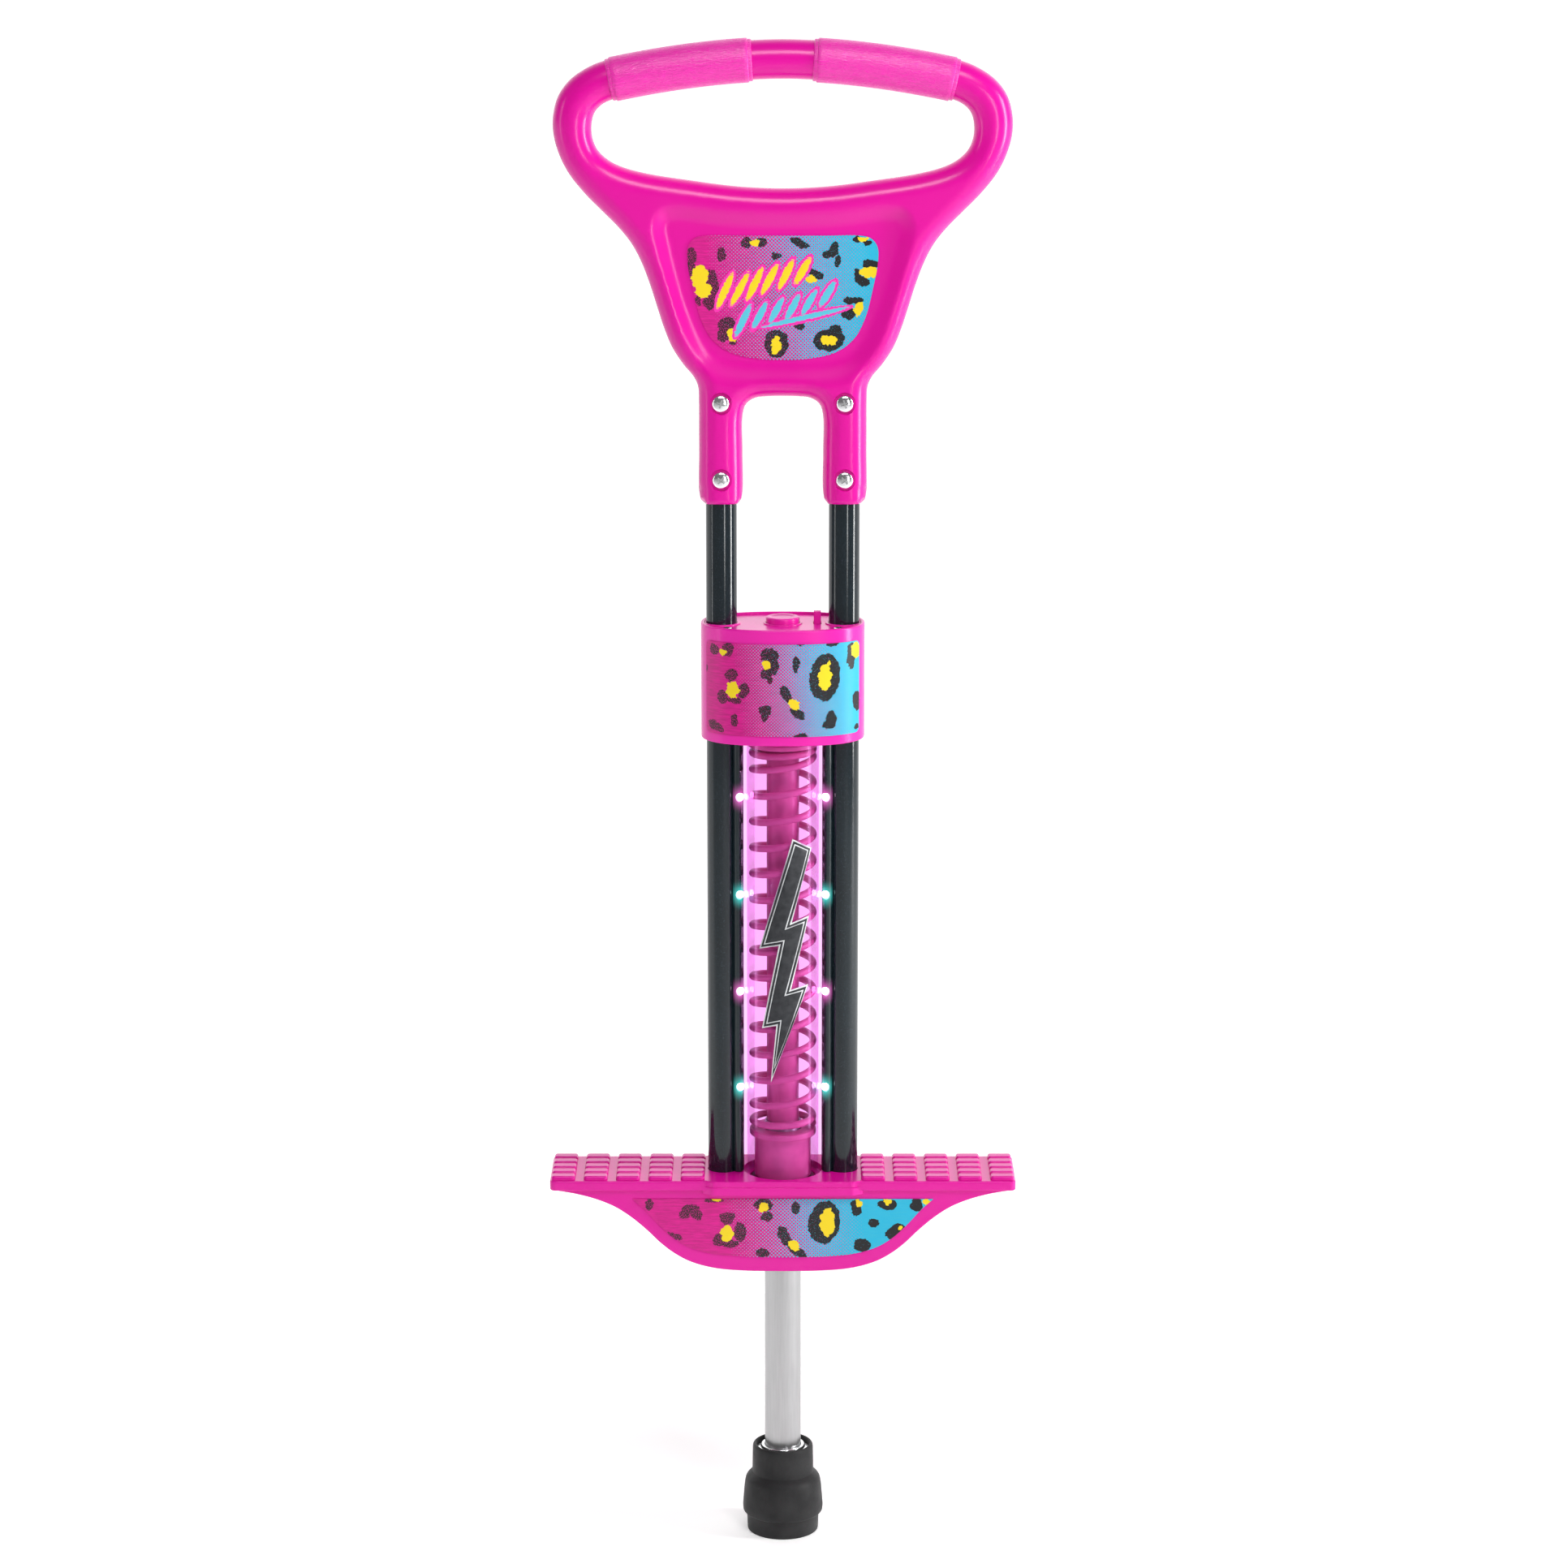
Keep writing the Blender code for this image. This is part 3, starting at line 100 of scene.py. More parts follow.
BAR_R = 0.0118
BAR_CENTRE_Z = TOTAL_HEIGHT - BAR_R
BAR_END_X = 0.106
BAR_DROP = 0.0129
BAR_POWER = 1.8
HANDLE_ROUND = 0.0114
LEG_BOTTOM = 0.6676
LEG_HALF = 0.0133
LEG_END_ROUND = 0.0020
LABEL_RECESS = 0.0042
RECESS_SLOPE = 0.0115
GRIP_START_X = 0.0185
GRIP_END_X = 0.1045
GRIP_R = 0.0134
BOLT_HEIGHTS = {"upper": 0.7306, "lower": 0.6837}
BOLT_SEAT_R = 0.0066
BOLT_SEAT_Y = 0.0104
HOUSING_POWER = 2.35
OVAL_SIDES = 144
HOUSING_WALL = 0.0022
CLEAR_WALL = 0.0022
LED_TOP_Z = 0.4848
LED_PITCH = 0.0623
LED_X = 0.0264
LED_R = 0.0020
LED_SEAT_Y = 0.0050  # the lights' seats and the middle of their glow, in front of the tubes' plane
LED_GLOW_X = LED_X - 0.0014
LED_GLOW_Y = 0.0095
SPRING_R = 0.01895
WIRE_R = 0.00225
SPRING_TURNS = 16
PLATE_HALF_Y = 0.0270
PLATE_TOP = 0.2416
PLATE_LOW = 0.2352
BLOCK_TOP = 0.2420
BLOCK_BOTTOM = 0.2330
SKIRT_HALF_Y = 0.0250
PLATE_BOLT_Z = 0.2200
STICKER = 0.0003
HANDLE_LABEL_Z = 0.796  # the heights of the labels' centres
HOUSING_LABEL_Z = 0.558
SKIRT_LABEL_Z = 0.210


# ---- mesh helpers ----


def finish(bm, name, sharp=38):
    """Turns a bmesh into a smooth-shaded object with outward normals."""
    bmesh.ops.remove_doubles(bm, verts=bm.verts, dist=2e-6)
    bmesh.ops.recalc_face_normals(bm, faces=bm.faces)
    mesh = bpy.data.meshes.new(name)
    bm.to_mesh(mesh)
    bm.free()
    mesh.shade_smooth()
    mesh.set_sharp_from_angle(angle=math.radians(sharp))
    obj = bpy.data.objects.new(name, mesh)
    bpy.context.scene.collection.objects.link(obj)
    return obj


def settle(obj, sharp=38):
    """Applies the object's modifiers, then shades it smooth, with edges over sharp degrees kept sharp."""
    graph = bpy.context.evaluated_depsgraph_get()
    result = bpy.data.meshes.new_from_object(obj.evaluated_get(graph))
    obj.modifiers.clear()
    obj.data = result
    result.shade_smooth()
    result.set_sharp_from_angle(angle=math.radians(sharp))
    return obj


def combine(obj, operation, *others):
    """Applies one exact boolean with each of the others, which are used up."""
    for other in others:
        step = obj.modifiers.new(operation.lower(), "BOOLEAN")
        step.operation = operation
        step.solver = "EXACT"
        step.object = other
    settle(obj)
    for other in others:
        bpy.data.objects.remove(other, do_unlink=True)
    return obj


def cut(obj, *cutters):
    return combine(obj, "DIFFERENCE", *cutters)


def join(obj, *others):
    return combine(obj, "UNION", *others)


def weigh(obj):
    """Lets large flat faces set the shading of the bevels around them."""
    step = obj.modifiers.new("weigh", "WEIGHTED_NORMAL")
    step.keep_sharp = True
    step.weight = 60
    return obj


def gather(name, *parts):
    """One object of several closed bodies that don't touch."""
    bm = bmesh.new()
    for part in parts:
        bm.from_mesh(part.data)
        bpy.data.objects.remove(part, do_unlink=True)
    return finish(bm, name)


def loft(rings, name, looped=True, sharp=38):
    """A skin over rings of equal length; looped joins the last to the first, else both ends close."""
    bm = bmesh.new()
    rows = [[bm.verts.new(point) for point in ring] for ring in rings]
    count = len(rows[0])
    pairs = list(zip(rows, rows[1:]))
    if looped:
        pairs.append((rows[-1], rows[0]))
    else:
        bm.faces.new(rows[0])
        bm.faces.new(rows[-1])
    for row, following in pairs:
        for i in range(count):
            j = (i + 1) % count
            bm.faces.new((row[i], row[j], following[j], following[i]))
    return finish(bm, name, sharp)


def rounded(corners, steps=4):
    """A closed outline whose (x, y, radius) corners become short curves."""
    outline = []
    for i, corner in enumerate(corners):
        here = Vector(corner[:2])
        if len(corner) == 2:
            outline.append(tuple(here))
            continue
        before = Vector(corners[i - 1][:2]) - here
        after = Vector(corners[(i + 1) % len(corners)][:2]) - here
        reach = min(corner[2], 0.49 * before.length, 0.49 * after.length)
        start = here + before.normalized() * reach
        end = here + after.normalized() * reach
        for k in range(steps + 1):
            t = k / steps
            outline.append(tuple((1 - t) ** 2 * start + 2 * t * (1 - t) * here + t * t * end))
    return outline


def rectangle(half_u, half_v, radius, u=0.0, v=0.0, steps=4):
    corners = ((half_u, -half_v), (half_u, half_v), (-half_u, half_v), (-half_u, -half_v))
    return rounded([(u + x, v + y, radius) for x, y in corners], steps)


def turned(profile, name="turned", segments=FINE, place=None, sharp=38):
    """A closed (radius, height) outline turned about Z. Radius 0 makes a pole."""
    bm = bmesh.new()
    rings = []
    for radius, height in profile:
        if radius < 1e-7:
            rings.append([bm.verts.new((0.0, 0.0, height))])
            continue
        angles = [2 * math.pi * i / segments for i in range(segments)]
        rings.append([bm.verts.new((radius * math.cos(a), radius * math.sin(a), height)) for a in angles])
    for ring, following in zip(rings, rings[1:] + rings[:1]):
        if len(ring) == 1 and len(following) == 1:
            continue
        for i in range(segments):
            j = (i + 1) % segments
            corners = [ring[i % len(ring)], ring[j % len(ring)]]
            corners += [following[j % len(following)], following[i % len(following)]]
            bm.faces.new(list(dict.fromkeys(corners)))
    if place:
        bmesh.ops.transform(bm, matrix=place, verts=bm.verts)
    return finish(bm, name, sharp)


def at(x, y=0.0, z=0.0):
    return Matrix.Translation((x, y, z))


def facing(x, y, z, towards=-1):
    """Places a turned piece so that its +Z looks along -Y (or +Y)."""
    return at(x, y, z) @ Matrix.Rotation(-towards * math.pi / 2, 4, "X")


def cylinder(radius, start, end, place=None, segments=FINE):
    return turned([(0, start), (radius, start), (radius, end), (0, end)], "cylinder", segments, place)


def box(start, end, name="box", bevel=0.0, segments=3):
    bm = bmesh.new()
    size = Vector(end) - Vector(start)
    middle = (Vector(end) + Vector(start)) / 2
    bmesh.ops.create_cube(bm, size=1.0, matrix=Matrix.Translation(middle) @ Matrix.Diagonal((*size, 1.0)))
    if bevel:
        bmesh.ops.bevel(bm, geom=bm.edges[:], offset=bevel, segments=segments, affect="EDGES", profile=0.5)
    return finish(bm, name)


def edge_normals(outline):
    """The outline's points as an array, and the inward unit normal at each."""
    ring = np.array([tuple(p) for p in outline])
    tangent = np.roll(ring, -1, axis=0) - np.roll(ring, 1, axis=0)
    normal = np.stack([-tangent[:, 1], tangent[:, 0]], axis=1)
    normal /= np.linalg.norm(normal, axis=1)[:, None]
    following = np.roll(ring, -1, axis=0)
    area = (ring[:, 0] * following[:, 1] - following[:, 0] * ring[:, 1]).sum()
    return ring, normal * math.copysign(1, area)


def slab(outline, start, end, bevel, name, along="Z", steps=3, both=True):
    """An outline pushed out from start to end, with rounded rims at both ends or only at the far one."""
    ring, inward = edge_normals(outline)
    turns = [math.pi / 2 * k / steps for k in range(steps + 1)]
    rim = [(bevel * (1 - math.sin(turn)), bevel * (1 - math.cos(turn))) for turn in turns]
    levels = [(inset, start + rise) for inset, rise in rim] if both else [(0.0, start)]
    levels += [(inset, end - rise) for inset, rise in reversed(rim)]
    rings = []
    for inset, level in levels:
        moved = ring + inward * inset
        if along == "Z":
            rings.append([(u, v, level) for u, v in moved])
        else:
            rings.append([(u, level, v) for u, v in moved])
    return loft(rings, name, looped=False)


def smooth_path(points, steps, closed=False):
    """A centripetal Catmull-Rom curve through 2-D points, with steps spans between each pair."""
    points = [Vector(p) for p in points]
    if closed:
        ring = [points[-1], *points, points[0], points[1]]
    else:
        ring = [2 * points[0] - points[1], *points, 2 * points[-1] - points[-2]]
    path = []
    for four in zip(ring, ring[1:], ring[2:], ring[3:]):
        times = [0.0]
        for p, q in zip(four, four[1:]):
            times.append(times[-1] + math.sqrt((q - p).length))
        for i in range(steps):
            path.append(spline_point(four, times, i / steps))
    if not closed:
        path.append(points[-1])
    return path


def spline_point(four, times, share):
    """The Barry-Goldman pyramid for one Catmull-Rom span."""
    now = times[1] + share * (times[2] - times[1])

    def blend(first, last, i, j):
        part = (now - times[i]) / (times[j] - times[i])
        return first * (1 - part) + last * part

    a, b, c = (blend(four[i], four[i + 1], i, i + 1) for i in range(3))
    return blend(blend(a, b, 0, 2), blend(b, c, 1, 3), 1, 2)


def mirrored(half):
    """Closes an outline whose half starts and ends on x = 0."""
    back = [(-p[0], p[1]) for p in reversed(half) if abs(p[0]) > 1e-6]
    return [*[(p[0], p[1]) for p in half], *back]


def in_metres(points):
    return [(x * MM, z * MM) for x, z in points]


def superellipse(a, b, power, count):
    outline = []
    for i in range(count):
        angle = 2 * math.pi * i / count
        x = a * math.copysign(abs(math.cos(angle)) ** (2 / power), math.cos(angle))
        y = b * math.copysign(abs(math.sin(angle)) ** (2 / power), math.sin(angle))
        outline.append((x, y))
    return outline


def signed_distance(points, outline):
    """Distance of each 2-D point from a closed outline, positive inside it."""
    start = np.array([tuple(p) for p in outline])
    span = np.roll(start, -1, axis=0) - start
    result = np.empty(len(points))
    for first in range(0, len(points), 2000):
        some = points[first : first + 2000]
        reach = some[:, None] - start
        share = np.clip((reach * span).sum(2) / (span**2).sum(1), 0, 1)
        near = np.linalg.norm(reach - share[..., None] * span, axis=2).min(1)
        end_z = start[:, 1] + span[:, 1]
        crosses = (start[:, 1] > some[:, None, 1]) != (end_z > some[:, None, 1])
        rise = np.where(span[:, 1] == 0, 1e-12, span[:, 1])
        cross_x = start[:, 0] + (some[:, None, 1] - start[:, 1]) * span[:, 0] / rise
        inside = (crosses & (some[:, None, 0] < cross_x)).sum(1) % 2 == 1
        result[first : first + 2000] = np.where(inside, near, -near)
    return result


def smooth_step(value):
    share = np.clip(value, 0, 1)
    return share * share * (3 - 2 * share)


def show(obj, look, node, body="frame"):
    """Puts a piece on its body, gives it its look's material and hides the CAD node it stands for."""
    slot, material = look
    obj.data.materials.append(material)
    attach(obj, body)
    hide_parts(node)


# ---- materials ----


class Graph:
    """The nodes of one material or world, with short ways to add and join them."""

    def __init__(self, name, store=bpy.data.materials, shader="Principled BSDF", place="Object"):
        self.material = store.new(name)
        self.material.use_nodes = True
        self.tree = self.material.node_tree
        self.shader = self.tree.nodes[shader]
        self.place = self.add("ShaderNodeTexCoord").outputs[place]

    def add(self, kind, **settings):
        node = self.tree.nodes.new(kind)
        for name, value in settings.items():
            setattr(node, name, value)
        return node

    def put(self, socket, value):
        if isinstance(value, bpy.types.NodeSocket):
            self.tree.links.new(value, socket)
        else:
            socket.default_value = value

    def set(self, **values):
        """Sets or links the shader's sockets; a _ in a name stands for a space."""
        for name, value in values.items():
            self.put(self.shader.inputs[name.replace("_", " ")], value)

    def math(self, operation, *values, clamp=False):
        node = self.add("ShaderNodeMath", operation=operation, use_clamp=clamp)
        for socket, value in zip(node.inputs, values):
            self.put(socket, value)
        return node.outputs[0]

    def vector(self, operation, *values, output=0):
        node = self.add("ShaderNodeVectorMath", operation=operation)
        sockets = [node.inputs[3]] if operation == "SCALE" else []
        for socket, value in zip([node.inputs[0], *sockets, *node.inputs[1:3]], values):
            self.put(socket, value)
        return node.outputs[output]

    def axes(self, vector):
        node = self.add("ShaderNodeSeparateXYZ")
        self.put(node.inputs[0], vector)
        return node.outputs

    def seen_directly(self):
        """1 where the camera itself looks, 0 for the light that falls on the object."""
        return self.add("ShaderNodeLightPath").outputs["Is Camera Ray"]

    def noise(self, scale, detail=2.0, stretch=None, place=None, roughness=0.5, output=0):
        """A value from 0 to 1, or with output 1 a vector; stretch scales the axes before it is read."""
        where = self.place if place is None else place
        if stretch:
            where = self.vector("MULTIPLY", where, stretch)
        node = self.add("ShaderNodeTexNoise")
        for word, value in zip(("Vector", "Scale", "Detail", "Roughness"), (where, scale, detail, roughness)):
            self.put(node.inputs[word], value)
        return node.outputs[output]

    def spread(self, value, start, end, first=0.0, last=1.0, smooth=False):
        """Maps start..end to first..last, held at the ends."""
        node = self.add("ShaderNodeMapRange", interpolation_type="SMOOTHSTEP" if smooth else "LINEAR")
        for socket, number in zip(node.inputs[:5], (value, start, end, first, last)):
            self.put(socket, number)
        return node.outputs[0]

    def mix(self, factor, first, last):
        node = self.add("ShaderNodeMix", data_type="RGBA")
        colours = [socket for socket in node.inputs if socket.type == "RGBA"]
        self.put(node.inputs["Factor"], factor)
        for socket, colour in zip(colours, (first, last)):
            self.put(socket, colour if isinstance(colour, bpy.types.NodeSocket) else (*colour, 1.0))
        return next(socket for socket in node.outputs if socket.type == "RGBA")

    def coat(self, tone, start, end, dark, light):
        """Sets the base colour, dark to light as tone goes from start to end."""
        self.set(Base_Color=self.mix(self.spread(tone, start, end), dark, light))

    def bump(self, height, distance, strength=1.0, below=None):
        node = self.add("ShaderNodeBump")
        self.put(node.inputs["Height"], height)
        self.put(node.inputs["Distance"], distance)
        self.put(node.inputs["Strength"], strength)
        if below is not None:
            self.put(node.inputs["Normal"], below)
        return node.outputs[0]


def moulded_plastic(name, dark, light, roughness=0.24):
    """Glossy moulded plastic: faint flow marks in its colour, orange peel, and fine scuffs."""
    g = Graph(name)
    flow = g.noise(11, 3)
    fleck = g.noise(1500, 2)
    tone = g.math("ADD", g.math("MULTIPLY", flow, 0.75), g.math("MULTIPLY", fleck, 0.25))
    g.coat(tone, 0.35, 0.65, dark, light)
    scuffs = g.noise(45, 3)
    g.set(Roughness=g.spread(scuffs, 0.3, 0.75, roughness - 0.02, roughness + 0.03))
    g.set(Normal=g.bump(g.noise(650, 2), 0.00001, 0.5), Specular_IOR_Level=0.40)
    return g.material


def grained_grip(name, dark, light):
    """Soft grip vinyl with a stretched leathery grain along the bar, read from the sleeve's UV."""
    g = Graph(name)
    flat = g.add("ShaderNodeUVMap").outputs[0]
    wander = g.noise(60, 2, place=flat, output=1)
    bent = g.vector("ADD", flat, g.vector("SCALE", wander, 0.004))
    long_grain = g.noise(1.0, 6, stretch=(170.0, 900.0, 1.0), place=bent, roughness=0.62)
    creases = g.noise(1.0, 3, stretch=(420.0, 1500.0, 1.0), place=bent)
    height = g.math("ADD", g.math("MULTIPLY", long_grain, 0.7), g.math("MULTIPLY", creases, 0.3))
    g.coat(height, 0.36, 0.62, dark, light)
    g.set(Roughness=g.spread(height, 0.3, 0.7, 0.36, 0.22))
    g.set(Normal=g.bump(height, 0.0006, 0.9))
    g.set(Specular_IOR_Level=0.75)
    return g.material


def gloss_paint(name, colour, fleck_colour, roughness=0.10, glow=False):
    """Dark gloss paint or plastic with dust-fine flecks; glow adds the light spilt by the LEDs."""
    g = Graph(name)
    fleck = g.noise(2600, 1)
    cloud = g.noise(35, 4)
    base = g.mix(g.spread(cloud, 0.35, 0.7), colour, [c * 1.4 for c in colour])
    g.coat(fleck, 0.68, 0.74, base, fleck_colour)
    g.set(Roughness=g.spread(g.noise(60, 4), 0.3, 0.75, roughness, roughness + 0.06))
    g.set(Normal=g.bump(g.noise(650, 2), 0.00003, 0.5))
    g.set(Specular_IOR_Level=0.5)
    if glow:
        spill, colour_of_light = led_spill(g, 0.0115)
        g.set(Emission_Color=colour_of_light, Emission_Strength=g.math("MULTIPLY", spill, 1.6))
    return g.material


LED_ORDER = ("magenta", "cyan", "magenta", "cyan")  # from the top
LED_LIGHT = {"magenta": (1.0, 0.16, 0.72), "cyan": (0.08, 0.93, 0.86)}


def led_spill(g, reach):
    """How strongly the nearest LED lights this spot, and in which colour. Both sides are alike."""
    across = g.vector("ABSOLUTE", g.place)
    near = {}
    for i, word in enumerate(LED_ORDER):
        centre = (LED_GLOW_X, LED_GLOW_Y, LED_TOP_Z - i * LED_PITCH)
        away = g.vector("DISTANCE", across, centre, output=1)
        share = g.math("POWER", g.spread(away, 0.0, reach, 1.0, 0.0), 2.6)
        near[word] = share if word not in near else g.math("MAXIMUM", near[word], share)
    front = g.math("LESS_THAN", g.axes(g.place)[1], 0.004)
    total = g.math("MULTIPLY", g.math("MAXIMUM", near["magenta"], near["cyan"]), front)
    cyan_wins = g.math("GREATER_THAN", near["cyan"], near["magenta"])
    return total, g.mix(cyan_wins, LED_LIGHT["magenta"], LED_LIGHT["cyan"])


def brushed_metal(name, dark, light, roughness, stretch):
    """Metal with fine lines, long where stretch is small, and soft smudges."""
    g = Graph(name)
    lines = g.noise(1.0, 5, stretch=stretch)
    smudge = g.noise(40, 4)
    g.coat(g.math("ADD", lines, smudge), 0.75, 1.25, dark, light)
    g.set(Roughness=g.spread(smudge, 0.3, 0.7, roughness - 0.05, roughness + 0.07))
    g.set(Normal=g.bump(lines, 0.00003, 0.6), Metallic=1.0)
    return g.material


def moulded_rubber(name):
    """Matt black rubber with a fine moulded grain and rubbed patches."""
    g = Graph(name)
    grain = g.noise(1300, 4, roughness=0.6)
    scuff = g.noise(70, 5)
    g.coat(scuff, 0.38, 0.68, (0.015, 0.015, 0.016), (0.024, 0.024, 0.025))
    g.set(Roughness=g.spread(scuff, 0.35, 0.7, 0.62, 0.5))
    g.set(Normal=g.bump(grain, 0.00012, 0.55), Specular_IOR_Level=0.28)
    return g.material


TUBE_TINT = (0.979, 0.789, 0.972)


def tinted_tube(name):
    """Clear pink plastic: each skin tints what is behind it and mirrors a little of the room."""
    g = Graph(name)
    streaks = g.noise(1.0, 4, stretch=(500.0, 500.0, 12.0))
    spill, light = led_spill(g, 0.0085)
    g.set(Base_Color=(0.95, 0.55, 0.92, 1.0), Metallic=1.0)
    g.set(Roughness=g.spread(streaks, 0.35, 0.7, 0.03, 0.1))
    # Painted glow: round each LED the tube emits the LED's colour, standing in for its light scattered in the
    # wall.
    g.set(Emission_Color=light, Emission_Strength=g.math("MULTIPLY", spill, 3.0))
    clear = g.add("ShaderNodeBsdfTransparent")
    g.put(clear.inputs[0], (*TUBE_TINT, 1.0))
    edge = g.add("ShaderNodeFresnel")
    g.put(edge.inputs["IOR"], 1.35)
    gloss = g.math("MULTIPLY", edge.outputs[0], 0.22)
    share = g.math("ADD", gloss, g.math("MULTIPLY", spill, 0.5), clamp=True)
    blend = g.add("ShaderNodeMixShader")
    g.put(blend.inputs[0], share)
    g.put(blend.inputs[1], clear.outputs[0])
    g.put(blend.inputs[2], g.shader.outputs[0])
    out = g.tree.nodes["Material Output"]
    g.put(out.inputs["Surface"], blend.outputs[0])
    return g.material


def simple_part(name, dark, light, roughness, metallic=0.0, scale=300):
    """Clouded rose (in part painted pink light), sleeve or board for the parts inside."""
    g = Graph(name)
    cloud = g.noise(scale, 4)
    g.coat(cloud, 0.35, 0.65, dark, light)
    g.set(Roughness=g.spread(cloud, 0.3, 0.7, roughness, roughness + 0.15))
    g.set(Normal=g.bump(cloud, 0.00005, 0.4), Metallic=metallic)
    return g.material


def led_lens(name, light):
    """A lit lens whose glow goes from a pale tint of its light to white in fine random patches."""
    g = Graph(name)
    grain = g.noise(500, 2)
    pale = [0.35 + 0.65 * c for c in light]
    g.set(Base_Color=g.mix(grain, light, pale), Roughness=0.15)
    g.set(Emission_Color=g.mix(g.spread(grain, 0.3, 0.7), pale, (1.0, 1.0, 1.0)), Emission_Strength=9.0)
    return g.material


MAGENTA = (0.72, 0.008, 0.28)
WORN_MAGENTA = (0.55, 0.006, 0.21)
CYAN = (0.030, 0.47, 0.68)
YELLOW = (0.88, 0.66, 0.012)
INK = (0.012, 0.012, 0.014)
HALO = (0.88, 0.03, 0.42)
PALE_CYAN = (0.10, 0.55, 0.70)


def spots(g, where, ellipses):
    """Least scaled distance to any (u, v, half u, half v, tilt or none) ellipse: under 1 is inside one."""
    field = None
    for u, v, half_u, half_v, *tilt in ellipses:
        mapping = g.add("ShaderNodeMapping", vector_type="TEXTURE")
        g.put(mapping.inputs["Vector"], where)
        mapping.inputs["Location"].default_value = (u, v, 0.0)
        mapping.inputs["Rotation"].default_value = (0.0, 0.0, math.radians(sum(tilt)))
        mapping.inputs["Scale"].default_value = (half_u, half_v, 1.0)
        away = g.vector("LENGTH", mapping.outputs[0], output=1)
        field = away if field is None else g.math("MINIMUM", field, away)
    return field


def ragged(g, flat, scale, reach, detail=2.0):
    """flat, pushed about by noise: reach is how far, in millimetres."""
    shove = g.noise(scale, detail, place=flat, output=1)
    centred = g.vector("SUBTRACT", shove, (0.5, 0.5, 0.5))
    return g.vector("ADD", flat, g.vector("MULTIPLY", centred, (2 * reach, 2 * reach, 0.0)))


def printed_art(name, yellow, black, fade, pitch, strokes=()):
    """Spotted artwork on a magenta to cyan ground joined by a dot screen.

    The piece's UV is in metres; everything here is in millimetres from the label's centre.
    """
    g = Graph(name)
    flat = g.vector("SCALE", g.add("ShaderNodeUVMap").outputs[0], 1000.0)
    u, v = g.axes(flat)[:2]
    waves = [g.math("COSINE", g.math("MULTIPLY", axis, 2 * math.pi / pitch)) for axis in (u, v)]
    screen = g.math("MULTIPLY_ADD", g.math("MULTIPLY", *waves), 0.5, 0.5)
    share = g.spread(g.math("MULTIPLY_ADD", v, 0.12, u), *fade, -0.05, 1.05)
    cyan_here = g.math("GREATER_THAN", g.math("ADD", screen, share), 1.0)
    worn = g.noise(1.0, 6, stretch=(0.10, 0.9, 1.0), place=flat, roughness=0.7)
    left = g.mix(g.spread(worn, 0.42, 0.60), WORN_MAGENTA, MAGENTA)
    right = g.mix(g.spread(worn, 0.4, 0.62), (0.018, 0.46, 0.70), CYAN)
    colour = g.mix(cyan_here, left, right)
    wandering = ragged(g, ragged(g, flat, 0.22, 1.9), 0.8, 0.9)
    scribble = g.noise(1.0, 3, stretch=(1.8, 1.4, 1.0), place=flat, roughness=0.7)
    holes = g.math("GREATER_THAN", scribble, g.spread(u, fade[0], fade[1], 0.55, 0.68))
    black_here = g.math("LESS_THAN", spots(g, wandering, black), 1.0)
    inked = g.math("MULTIPLY", black_here, g.math("SUBTRACT", 1.0, holes))
    colour = g.mix(inked, colour, INK)
    jagged = ragged(g, ragged(g, flat, 0.30, 2.2), 0.75, 1.0, 1.0)
    colour = g.mix(g.math("LESS_THAN", spots(g, jagged, yellow), 1.0), colour, YELLOW)
    for ink, marks in strokes:
        halo = [(a, b, c + 1.6, d + 1.5, t) for a, b, c, d, t in marks]
        colour = g.mix(g.math("LESS_THAN", spots(g, ragged(g, flat, 0.5, 0.7), halo), 1.0), colour, HALO)
        dry = g.noise(1.0, 3, stretch=(0.30, 2.4, 1.0), place=flat)
        skips = g.spread(dry, 0.45, 0.75, 0.0, 0.35)
        field = g.math("ADD", spots(g, ragged(g, flat, 0.9, 0.8), marks), skips)
        colour = g.mix(g.math("LESS_THAN", field, 1.0), colour, ink)
    g.set(Base_Color=colour, Roughness=g.spread(worn, 0.3, 0.7, 0.34, 0.46))
    g.set(Normal=g.bump(g.noise(0.8, 3, place=flat), 0.00003, 0.4), Specular_IOR_Level=0.35)
    return g.material


def print_ink(name, dark, light):
    """One printed ink of the decal."""
    g = Graph(name)
    cloud = g.noise(260, 4)
    g.coat(cloud, 0.35, 0.65, dark, light)
    g.set(Roughness=g.spread(cloud, 0.3, 0.7, 0.38, 0.46))
    g.set(Normal=g.bump(g.noise(900, 2), 0.00002, 0.4), Specular_IOR_Level=0.35)
    return g.material


HOUSING_YELLOW = (
    (-38, 22, 2.5, 2), (-31, -1, 4.2, 5), (-10, 15, 2.5, 3, 20), (7, -9, 3, 4, 30),
    (26, 7, 4.2, 8.5), (27, 13, 1.2, 5, -20), (48, 22, 4, 5),
)
HOUSING_BLACK = (
    (-44, 23, 4, 3.5, 20), (-34, 24, 3.5, 4.5), (-32, 8, 4.5, 4, 30), (-24, -1, 3.6, 5, -20),
    (-38, -6, 3.6, 4.4, 20), (-30, -7, 4.5, 2.6), (-8, 21, 5.6, 4.6), (-5, 15, 2.5, 5.4),
    (-10, 10, 3.5, 4, -30), (-8, 6, 1.6, 2.4), (8, 18, 2, 2.4), (8, 14, 1.5, 3),
    (2, -3, 3, 6, 25), (9, -15, 5.2, 2.8, -35), (26, 7, 9.6, 15, -5), (11, 29, 5, 1.4),
    (31, 28, 4.5, 2.5), (44, 19, 3.4, 8.5), (49, -10, 3.6, 6.5, 5), (-11, -13, 4, 3),
    (-11, -17, 2, 3.2), (-30, -20, 2.4, 4), (-43, -25, 6.4, 3, -20), (30, -20, 3.4, 5.6),
    (27, -22, 2, 3, -30), (11, -29, 5, 1.6), (-52, 10, 1.6, 2.4), (49, -26, 2.2, 2.2),
)
